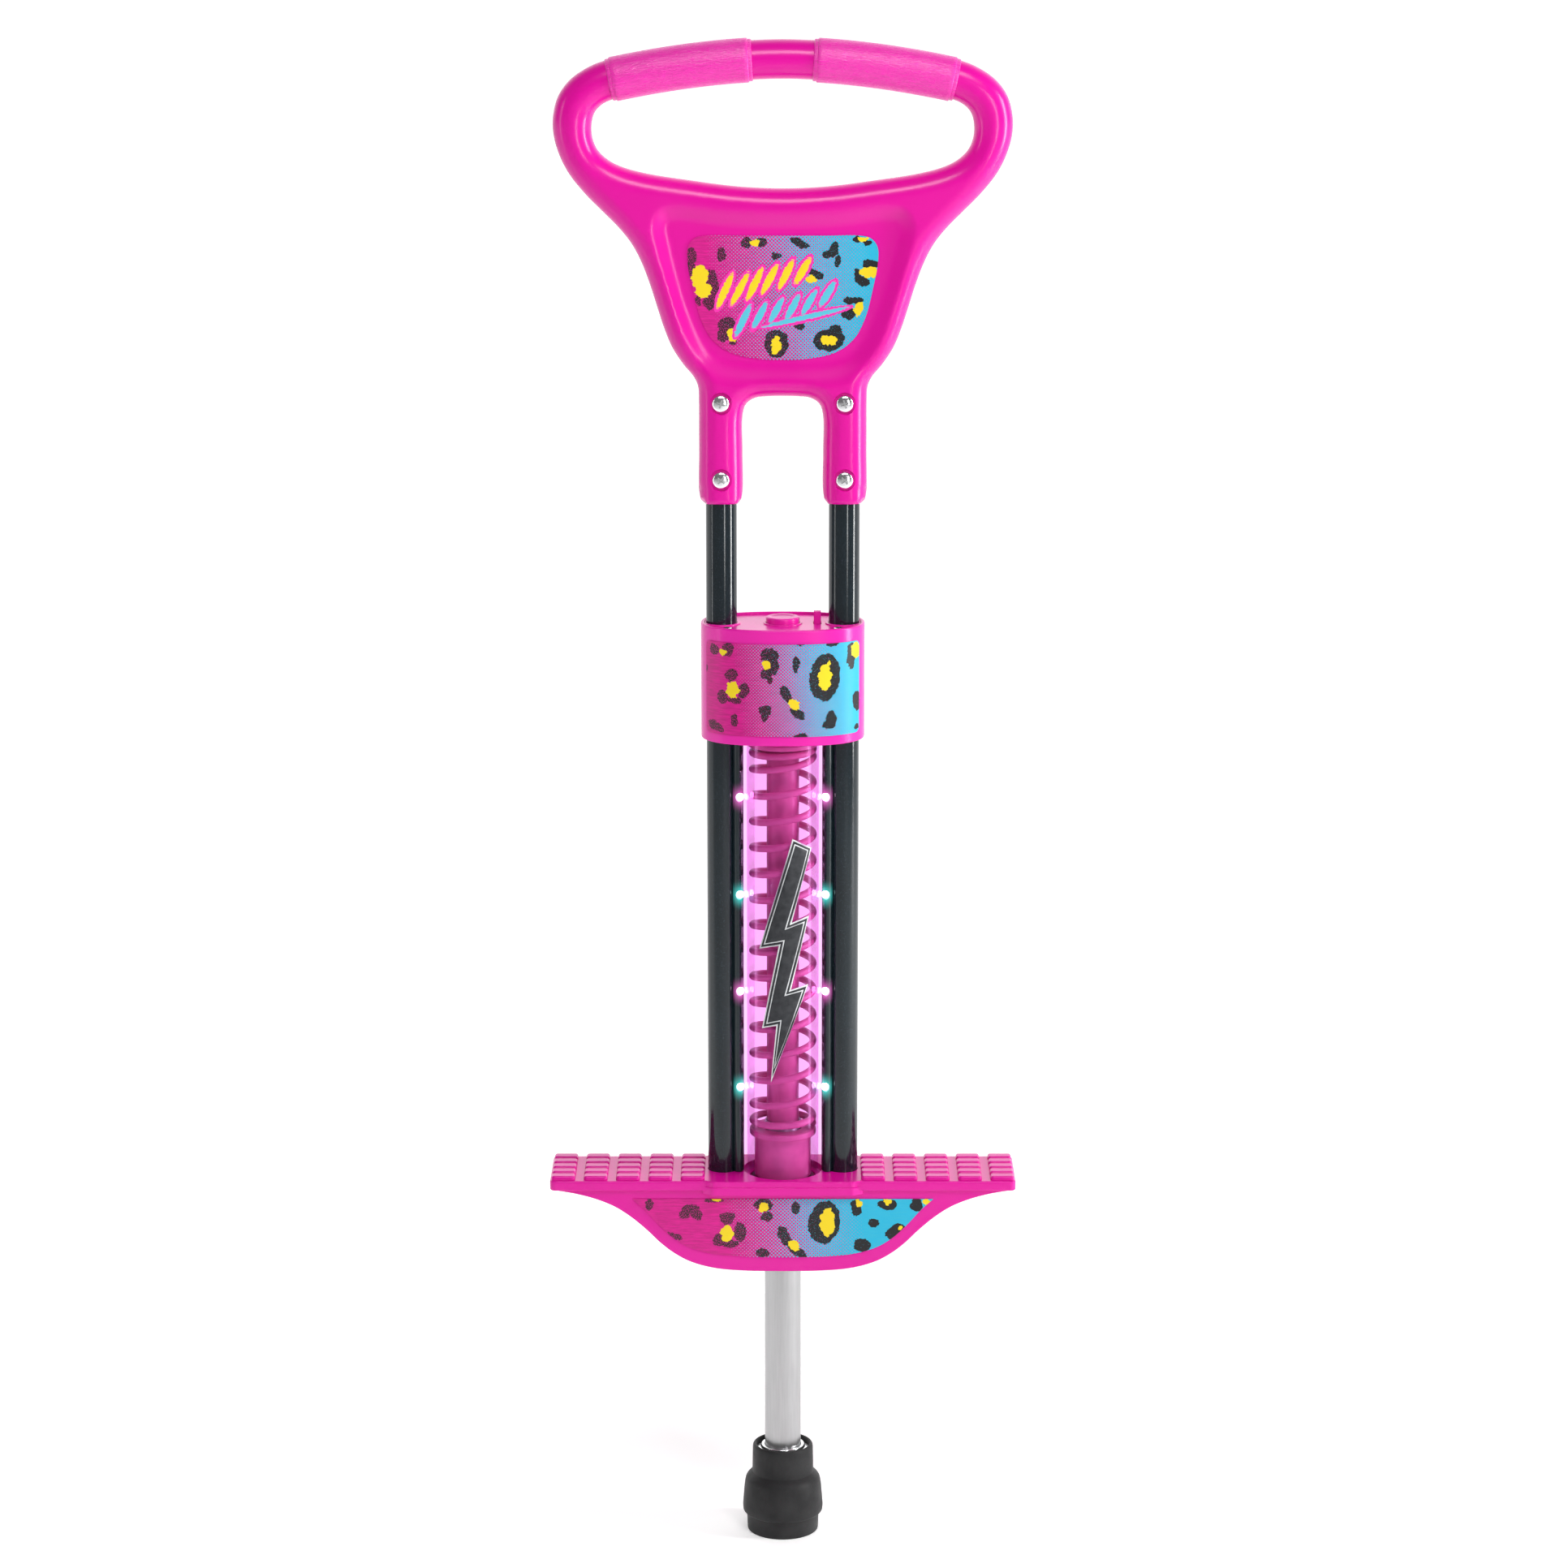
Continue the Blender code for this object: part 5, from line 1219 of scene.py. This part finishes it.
def housing_front():
    """A wrap function that lays a flat label on the front half of the housing, by arc length."""
    angles = np.linspace(0, math.pi, 1201)
    xs = HOUSING_A * np.sign(np.cos(angles)) * np.abs(np.cos(angles)) ** (2 / HOUSING_POWER)
    ys = -HOUSING_B * np.abs(np.sin(angles)) ** (2 / HOUSING_POWER)
    steps = np.hypot(np.diff(xs), np.diff(ys))
    along = np.concatenate([[0], np.cumsum(steps)])
    along = along[-1] / 2 - along
    xs, ys, along = xs[::-1], ys[::-1], along[::-1]
    out_x, out_y = np.gradient(ys), -np.gradient(xs)
    size = np.hypot(out_x, out_y)
    out_x, out_y = out_x / size, out_y / size

    def wrap(u, v, depth):
        x, y, nx, ny = (np.interp(u, along, values) for values in (xs, ys, out_x, out_y))
        reach = depth + GAP
        return Vector((x + nx * reach, y + ny * reach, v + HOUSING_LABEL_Z))

    return wrap


def make_housing_label():
    half_width, radius = 0.0515, 0.0040
    start, end = 0.5283 - HOUSING_LABEL_Z, 0.5859 - HOUSING_LABEL_Z
    corners = [
        (half_width, start, radius), (half_width, end, radius), (-half_width, end, radius),
        (-half_width, start, radius),
    ]
    outline = even_steps(rounded(corners, 8), 0.0015)
    label = sheet(outline, housing_front(), "housing_sticker", 0.0028)
    show(label, HOUSING_ART, "housing_label")


# ---- spring column ----


def make_clear_tube():
    inner = CLEAR_R - CLEAR_WALL
    profile = rounded([
        (inner, CLEAR_BOTTOM, 0.0004), (CLEAR_R, CLEAR_BOTTOM, 0.0004),
        (CLEAR_R, CLEAR_TOP, 0.0004), (inner, CLEAR_TOP, 0.0004),
    ])
    tube = turned(profile, "tinted_cover", 128)
    show(tube, CLEAR, "clear_tube")


def rail_section(sign):
    """Two-lobed strip between the clear tube and a frame tube, seen from above."""
    inner = CLEAR_R + GAP
    outer = TUBE_R + GAP
    inner_half = math.asin(0.0050 / inner)
    outline = [(inner * math.cos(a), inner * math.sin(a)) for a in np.linspace(-inner_half, inner_half, 9)]
    lobe = [(0.0252, 0.0068), (0.0258, 0.0086), (0.0272, 0.0095), (0.0285, 0.0094), (0.0296, 0.0088)]
    outline += lobe
    for angle in np.linspace(math.radians(47), math.radians(-47), 17):
        outline.append((TUBE_X - outer * math.cos(angle), outer * math.sin(angle)))
    outline += [(x, -y) for x, y in reversed(lobe)]
    return [(sign * x, y) for x, y in outline]


def make_rail(side):
    sign = SIDES[side]
    start, end = low(f"led_rail_{side}").z, high(f"led_rail_{side}").z
    rail = slab(rail_section(sign), start, end, 0.0003, f"light_rail_{side}")
    slot_x, slot_half = sign * 0.0266, 0.0007
    slot = box((slot_x - slot_half, -0.0052, start - 0.01), (slot_x + slot_half, 0.0052, end + 0.01))
    sockets = []
    for i in range(4):
        z = LED_TOP_Z - i * LED_PITCH
        shape = [
            (0, LED_SEAT_Y), (LED_R + GAP, LED_SEAT_Y), (LED_R + GAP, 0.0080), (LED_R + 0.0012, 0.0100),
            (LED_R + 0.0012, 0.02), (0, 0.02),
        ]
        sockets.append(turned(shape, segments=32, place=facing(sign * LED_X, 0, z)))
    cut(rail, slot, gather("rail_sockets", *sockets))
    show(weigh(rail), BLACK_PLASTIC, f"led_rail_{side}")


def make_leds():
    for side, sign in SIDES.items():
        for i, word in enumerate(LED_ORDER):
            bends = np.linspace(0, 1.45, 8)
            dome = [(LED_R * math.cos(a), 0.0088 + 0.9 * LED_R * math.sin(a)) for a in bends]
            foot = LED_SEAT_Y + GAP
            profile = [(0, foot), (LED_R, foot), *dome, (0, 0.0106)]
            place = facing(sign * LED_X, 0, LED_TOP_Z - i * LED_PITCH)
            lens = turned(profile, f"lens_{side}_{i + 1}", 28, place, 60)
            show(lens, LEDS[word], f"led_{side}_{i + 1}")


def mitred(outline, distance):
    """A closed polygon moved inwards by distance, its corners kept sharp."""
    ring = [Vector(p) for p in outline]
    area = sum(p.x * q.y - q.x * p.y for p, q in zip(ring, ring[1:] + ring[:1]))
    turn = 1 if area > 0 else -1
    moved = []
    for i, here in enumerate(ring):
        before, after = ring[i - 1], ring[(i + 1) % len(ring)]
        first, second = (here - before).normalized(), (after - here).normalized()
        first_in = Vector((-first.y, first.x)) * turn
        second_in = Vector((-second.y, second.x)) * turn
        middle = (first_in + second_in).normalized()
        moved.append(tuple(here + middle * (distance / max(0.25, middle.dot(first_in)))))
    return moved


def make_tube_decal():
    """A generic lightning flash in outline: pale rim, dark band, pale line, dark fill."""
    flash = in_metres([
        (6, 462), (-15.5, 391), (-2.5, 394), (-13.5, 340), (-4, 342.5),
        (-7.5, 305.5), (17, 368), (5, 365.5), (17.5, 412), (5.5, 408.5), (19.5, 455),
    ])
    radius = CLEAR_R + GAP

    def wrap(u, v, depth):
        reach = radius + depth
        return Vector((reach * math.sin(u / radius), -reach * math.cos(u / radius), v))

    bands = [mitred(flash, distance) for distance in (0.0009, 0.0022, 0.0029)]
    decal = sheet(flash, wrap, "flash_decal", 0.002, bands)
    show(decal, DECAL, "tube_decal")
    for material in (DECAL_DARK, DECAL_PALE, DECAL_DARK):
        decal.data.materials.append(material)


def spring_height(turn):
    """Height of the wire's centre: flat closed turns at both ends, even pitch between."""
    start, end = SPRING_BOTTOM + WIRE_R, SPRING_TOP - WIRE_R
    closed_pitch = 2 * WIRE_R + 0.0001
    rise = (end - start - 2 * closed_pitch) / (SPRING_TURNS - 2)
    if turn <= 1:
        return start + closed_pitch * turn
    if turn >= SPRING_TURNS - 1:
        return end - closed_pitch * (SPRING_TURNS - turn)
    return start + closed_pitch + rise * (turn - 1)


def make_spring():
    """The coil, with flat closed turns at both ends, on the leg's body and with a mesh of its own."""
    steps, sides = 44, 12
    rings = []
    for i in range(SPRING_TURNS * steps + 1):
        turn = i / steps
        angle = 2 * math.pi * turn
        out = Vector((math.cos(angle), math.sin(angle), 0))
        centre = out * SPRING_R + Vector((0, 0, spring_height(turn)))
        spins = [2 * math.pi * k / sides for k in range(sides)]
        rings.append([centre + WIRE_R * (math.cos(s) * out + math.sin(s) * Vector((0, 0, 1))) for s in spins])
    coil = loft(rings, "coil_spring", looped=False, sharp=60)
    show(coil, SPRING_ROSE, "spring", body="leg")
    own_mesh(coil)


def make_rod_parts():
    rod_r = high("guide_rod").x
    seat_low, seat_top = low("top_spring_seat").z, high("top_spring_seat").z
    outer = high("top_spring_seat").x
    shoulder = seat_low + 0.0060
    seat = rounded([
        (rod_r + GAP, seat_low), (0.0155, seat_low, 0.0008), (0.0158, shoulder), (outer, shoulder, 0.0006),
        (outer, shoulder + 0.0030, 0.0006), (outer - 0.0016, shoulder + 0.0036, 0.0004),
        (outer - 0.0016, seat_top - 0.0014, 0.0004), (outer, seat_top - 0.0010, 0.0004), (outer, seat_top),
        (rod_r + GAP, seat_top),
    ])
    show(turned(seat, "upper_seat", 96), ROSE, "top_spring_seat")
    bottom, top = low("guide_rod").z, high("guide_rod").z
    rod = rounded([(0, bottom), (rod_r, bottom, 0.0022), (rod_r, top, 0.0008), (0, top)])
    show(turned(rod, "inner_rod", FINE), ROSE, "guide_rod")
    nut = nut_shape("rod_lock_nut", at(0, 0, low("guide_rod_nut").z), 0.0165, 0.0055, rod_r + GAP)
    show(nut, STEEL, "guide_rod_nut")


# ---- sprung leg ----


def make_leg():
    shaft_r = high("shaft").x
    bore = 0.01035
    start, top = low("shaft").z, high("shaft").z
    groove = low("spring_cup").z + 0.0008
    shaft = rounded([
        (bore, start), (shaft_r, start, 0.0003), (shaft_r, groove), (0.0110, groove),
        (0.0110, groove + 0.0020), (shaft_r, groove + 0.0020), (shaft_r, top, 0.0008), (bore, top, 0.0003),
    ])
    show(turned(shaft, "steel_leg", 96), STEEL, "shaft", body="leg")
    cup_low, cup_top = low("spring_cup").z, high("spring_cup").z
    inner = shaft_r + GAP
    cup = rounded([
        (inner, cup_low + 0.0032), (0.0148, cup_low + 0.0032), (0.0148, cup_low), (0.0178, cup_low, 0.0028),
        (0.0178, cup_top - 0.0042, 0.0008), (0.0209, cup_top - 0.0038, 0.0008), (0.0209, cup_top, 0.0010),
        (inner, cup_top, 0.0004),
    ], 6)
    show(turned(cup, "lower_seat", 96), ROSE, "spring_cup", body="leg")


def make_foot():
    bore = high("shaft").x + GAP
    floor = low("shaft").z - GAP
    profile = [
        (0, 0.0015), (0.0070, 0.0015), (0.0076, 0, 0.0004), (0.0128, 0, 0.0004), (0.0133, 0.0012),
        (0.0150, 0.0012), (0.0155, 0, 0.0004), (0.0226, 0, 0.0010), (0.0231, 0.0116, 0.0003),
        (0.0254, 0.0126, 0.0014), (0.0257, 0.0160, 0.0012), (0.0246, 0.0300, 0.0040),
        (0.0236, 0.0358, 0.0034), (0.0196, 0.0388), (0.0193, 0.0550, 0.0006), (0.0191, 0.0570, 0.0012),
        (0.0180, 0.0581, 0.0008), (0.0169, 0.0575, 0.0008), (0.0168, 0.0530, 0.0003),
        (bore, 0.0530), (bore, floor), (0, floor),
    ]
    foot = turned(rounded(profile, 6), "foot_boot", 112, sharp=42)
    show(foot, RUBBER, "rubber_foot", body="leg")
    washer_low, washer_top = low("foot_washer").z, high("foot_washer").z
    ring = rounded([
        (bore, washer_low), (0.0165, washer_low), (0.0165, washer_low + 0.0018, 0.0005),
        (0.0140, washer_low + 0.0020, 0.0005), (0.0136, washer_top, 0.0005), (bore, washer_top, 0.0003),
    ])
    show(turned(ring, "foot_ring", 96), CHROME, "foot_washer", body="leg")


# ---- footplate ----


def skirt_outline():
    """The skirt seen from the front, from under the plate round its lower edge."""
    edge = [
        (0, 181.5), (24, 181.9), (40, 183.2), (52, 185.8), (61, 189.2), (69.9, 194.6),
        (77.5, 200.8), (85.1, 208.4), (95, 217), (105.4, 224), (117, 229),
        (130, 232.6), (143.5, 235),
    ]
    lower = smooth_path(in_metres(edge), 5)
    top = PLATE_TOP - 0.003
    return mirrored([(0.0, top), (0.1420, top), *reversed(lower)])


def make_footplate():
    plate_outline = rectangle(PLATE_HALF_X, PLATE_HALF_Y, 0.004, steps=6)
    plate = slab(plate_outline, PLATE_LOW, PLATE_TOP, 0.0011, "footplate_moulding")
    deep = high("footplate").y
    block_outline = rounded([
        (0.0505, -0.0262, 0.001), (0.0505, 0.0262, 0.001), (0.0440, deep, 0.0016),
        (-0.0440, deep, 0.0016), (-0.0505, 0.0262, 0.001), (-0.0505, -0.0262, 0.001),
        (-0.0440, -deep, 0.0016), (0.0440, -deep, 0.0016),
    ])
    shelf = BLOCK_TOP - 0.0042
    lower_block = slab(block_outline, BLOCK_BOTTOM, shelf + 0.0004, 0.0005, "block")
    ring, inward = edge_normals(block_outline)
    upper_block = slab(ring + inward * 0.0006, shelf - 0.001, BLOCK_TOP, 0.0008, "upper_block")
    skirt = slab(skirt_outline(), -SKIRT_HALF_Y, SKIRT_HALF_Y, 0.0008, "skirt", along="Y")
    cut(skirt, gather("bays", *skirt_bays()))
    centre = rounded([
        (0, SKIRT_BOTTOM + 0.001), (0.0185, SKIRT_BOTTOM + 0.001, 0.0008), (0.0185, 0.2265),
        (0.0238, 0.2265, 0.0008), (0.0238, BLOCK_BOTTOM + 0.002), (0, BLOCK_BOTTOM + 0.002),
    ])
    bosses = [turned(centre)]
    for x in (-TUBE_X, TUBE_X):
        start = TUBE_BOTTOM - 0.0035
        shape = rounded([
            (0, start), (0.0128, start, 0.0010), (0.0128, BLOCK_BOTTOM + 0.002), (0, BLOCK_BOTTOM + 0.002)
        ])
        bosses.append(turned(shape, place=at(x), segments=48))
    join(plate, lower_block, upper_block, skirt, gather("bosses", *bosses), gather("ridges", *ridges()))
    below, above = 0.15, BLOCK_TOP + 0.01
    well = [
        (0, below), (0.0148, below), (0.0148, 0.2310), (0.0208, 0.2310), (0.0208, CLEAR_BOTTOM - GAP),
        (CLEAR_R + GAP, CLEAR_BOTTOM - GAP), (CLEAR_R + GAP, above), (0, above),
    ]
    cutters = [turned(well, segments=96)]
    cutters += drop_cylinders(TUBE_R + GAP, TUBE_BOTTOM - GAP, above, TUBE_CENTRES, FINE)
    for x in (-TUBE_X, TUBE_X):
        seat = SKIRT_HALF_Y - 0.0012
        shape = [
            (0, seat), (BOLT_SEAT_R, seat), (BOLT_SEAT_R, SKIRT_HALF_Y - 0.0003),
            (BOLT_SEAT_R + 0.0005, SKIRT_HALF_Y + 0.0004), (BOLT_SEAT_R + 0.0005, 0.04), (0, 0.04),
        ]
        cutters.append(turned(shape, place=facing(x, 0, PLATE_BOLT_Z, 1), segments=40))
    cut(plate, gather("plate_cutters", *cutters))
    show(weigh(plate), PINK, "footplate")


def skirt_bays():
    """Open bays under the plate, parted by ribs across it."""
    inner = SKIRT_HALF_Y - 0.0030
    ribs = (0.0, 0.0590, 0.0800, 0.1010, 0.1220, 0.1440)
    half_rib = 0.0011
    bays = []
    for start, end in zip(ribs, ribs[1:]):
        for sign in (-1, 1):
            xs = sorted((sign * (start + half_rib), sign * (end - half_rib)))
            bays.append(box((xs[0], -inner, 0.15), (xs[1], inner, PLATE_LOW + 0.0006)))
    return bays


RIDGE_FIRST_X = 0.0568
RIDGE_PITCH_X = 0.0203
RIDGE_PITCH_Y = 0.0104
RIDGE_LENGTH = 0.0150
RIDGE_WIDTH = 0.0082
RIDGE_RISE = 0.0026


def ridges():
    """Rows of rounded tread bars on both wings."""
    bars = []
    for sign in (-1, 1):
        for column in range(5):
            x = sign * (RIDGE_FIRST_X + column * RIDGE_PITCH_X)
            for row in range(5):
                y = (row - 2) * RIDGE_PITCH_Y
                outline = rectangle(RIDGE_LENGTH / 2, RIDGE_WIDTH / 2, 0.0022, x, y, 3)
                top = PLATE_TOP + RIDGE_RISE
                bars.append(slab(outline, PLATE_TOP - 0.001, top, 0.0015, "bar", both=False))
    return bars


def make_plate_parts():
    for side, sign in SIDES.items():
        seat = SKIRT_HALF_Y - 0.0012 + GAP
        place = facing(sign * TUBE_X, seat, PLATE_BOLT_Z, 1)
        bolt = bolt_shape(f"skirt_bolt_{side}", place, seat + 0.0100, *PLATE_BOLT)
        show(bolt, CHROME, f"plate_bolt_{side}")
    inner = high("shaft").x + 0.0002
    bottom = low("lower_bushing").z
    bush = rounded([
        (inner, bottom, 0.0006), (0.0145, bottom, 0.0008), (0.0145, 0.2313), (0.0204, 0.2313, 0.0004),
        (0.0204, 0.2330, 0.0003), (inner, 0.2330),
    ])
    show(turned(bush, "guide_bush", 80), BLACK_PLASTIC, "lower_bushing")
    start, top = low("rebound_bumper").z, high("rebound_bumper").z
    bumper = rounded([
        (inner + 0.0002, start), (0.0203, start, 0.0006), (0.0203, top, 0.0012), (inner + 0.0002, top, 0.0008)
    ])
    show(turned(bumper, "bumper_ring", 80), RUBBER, "rebound_bumper")


def make_skirt_label():
    edge = [
        (94.6, 229.6), (87, 222.5), (78, 212.5), (69, 204), (59, 197.8), (45, 193.6),
        (24, 191.6), (0, 191.2),
    ]
    outline = mirrored([(0.0, 0.2296), *smooth_path(in_metres(edge), 6)])
    label = flat_label(outline, -SKIRT_HALF_Y - GAP, SKIRT_LABEL_Z, "skirt_sticker", 0.005)
    show(label, SKIRT_ART, "skirt_label")


# ---- carried-over inner nodes ----


def dress_inner_nodes():
    """The CAD nodes that stay shown are all inside the object; each gets its material."""
    dressed = {
        "battery_tray": BLACK_PLASTIC[1], "circuit_board": GREEN, "shaft_circlip": STEEL[1],
        "battery_1": CELL, "battery_2": CELL, "battery_3": CELL,
    }
    for side in SIDES:
        dressed[f"led_wire_{side}"] = RED
        dressed[f"led_strip_{side}"] = GREEN
    for name, material in dressed.items():
        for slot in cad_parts[name].material_slots:
            slot.material = material


# ---- stage ----


def make_floor():
    """White paper that glows a little; the object catches that glow only from behind it."""
    half = 30.0
    corners = ((-half, -half), (half, -half), (half, half), (-half, half))
    bm = bmesh.new()
    bm.faces.new([bm.verts.new((x, y, 0.0)) for x, y in corners])
    floor = finish(bm, "studio_floor")
    g = Graph("studio_paper")
    cloud = g.noise(3, 3)
    g.set(Base_Color=g.mix(cloud, (0.90, 0.90, 0.90), (0.93, 0.93, 0.93)), Roughness=0.9)
    g.set(Specular_IOR_Level=0.0, Emission_Color=(1.0, 1.0, 1.0, 1.0))
    away = g.vector("LENGTH", g.place, output=1)
    near = g.spread(away, 0.10, 1.4, 0.34, 0.70, smooth=True)
    behind = g.spread(g.axes(g.place)[1], -0.9, -0.2, 0.0, 1.0, smooth=True)
    gate = g.math("MAXIMUM", behind, g.seen_directly())
    g.set(Emission_Strength=g.math("MULTIPLY", near, gate))
    floor.data.materials.append(g.material)


ROOM_FRONT = 0.15  # how strongly the room lights the object from the front and from behind
ROOM_BACK = 1.5


def make_light(name, place, target, size, power):
    data = bpy.data.lights.new(name, "AREA")
    data.shape = "RECTANGLE"
    data.size, data.size_y = size
    data.energy = power
    lamp = bpy.data.objects.new(name, data)
    lamp.location = place
    lamp.rotation_euler = (Vector(target) - Vector(place)).to_track_quat("-Z", "Y").to_euler()
    bpy.context.scene.collection.objects.link(lamp)


def make_studio():
    """A white backdrop on every side; the light from it is strong behind the object and weak in front."""
    g = Graph("soft_room", bpy.data.worlds, "Background", "Generated")
    grade = g.spread(g.axes(g.place)[1], 0.05, 0.92, ROOM_FRONT, ROOM_BACK, smooth=True)
    g.set(Color=(1.0, 1.0, 1.0, 1.0), Strength=g.math("MAXIMUM", grade, g.seen_directly()))
    bpy.context.scene.world = g.material
    make_light("key", (0.15, -1.15, 2.05), (0, 0, 0.82), (1.2, 0.46), 15)
    make_light("right_box", (1.9, -0.40, 0.95), (0, 0, 0.65), (0.30, 1.7), 32)
    make_light("front_box", (1.0, -2.2, 0.95), (0, 0, 0.8), (0.25, 1.1), 10)
    make_light("left_box", (-2.3, -0.7, 0.9), (0, 0, 0.6), (0.16, 1.6), 5)


def make_camera():
    """The photograph's viewing angle: level sideways, looking down a little from the front."""
    data = bpy.data.cameras.new("front_view")
    data.sensor_width = 36.0
    data.lens = 103.768
    data.clip_end = 100.0
    camera = bpy.data.objects.new("front_view", data)
    camera.location = (0.00075, -2.74, 1.11)
    camera.rotation_euler = (math.radians(90 - 12.7227), 0.0, 0.0)
    bpy.context.scene.collection.objects.link(camera)
    bpy.context.scene.camera = camera


make_camera()
make_floor()
make_studio()
bpy.context.scene.view_settings.view_transform = "Standard"

make_handle()
make_handle_label()
make_handle_fixings()
for one_side in SIDES:
    make_grip(one_side)
    make_frame_tube(one_side)
    make_rail(one_side)
make_housing()
make_battery_door()
make_lid()
make_button()
make_lever()
make_housing_label()
make_clear_tube()
make_leds()
make_tube_decal()
make_spring()
make_rod_parts()
make_leg()
make_foot()
make_footplate()
make_plate_parts()
make_skirt_label()
dress_inner_nodes()
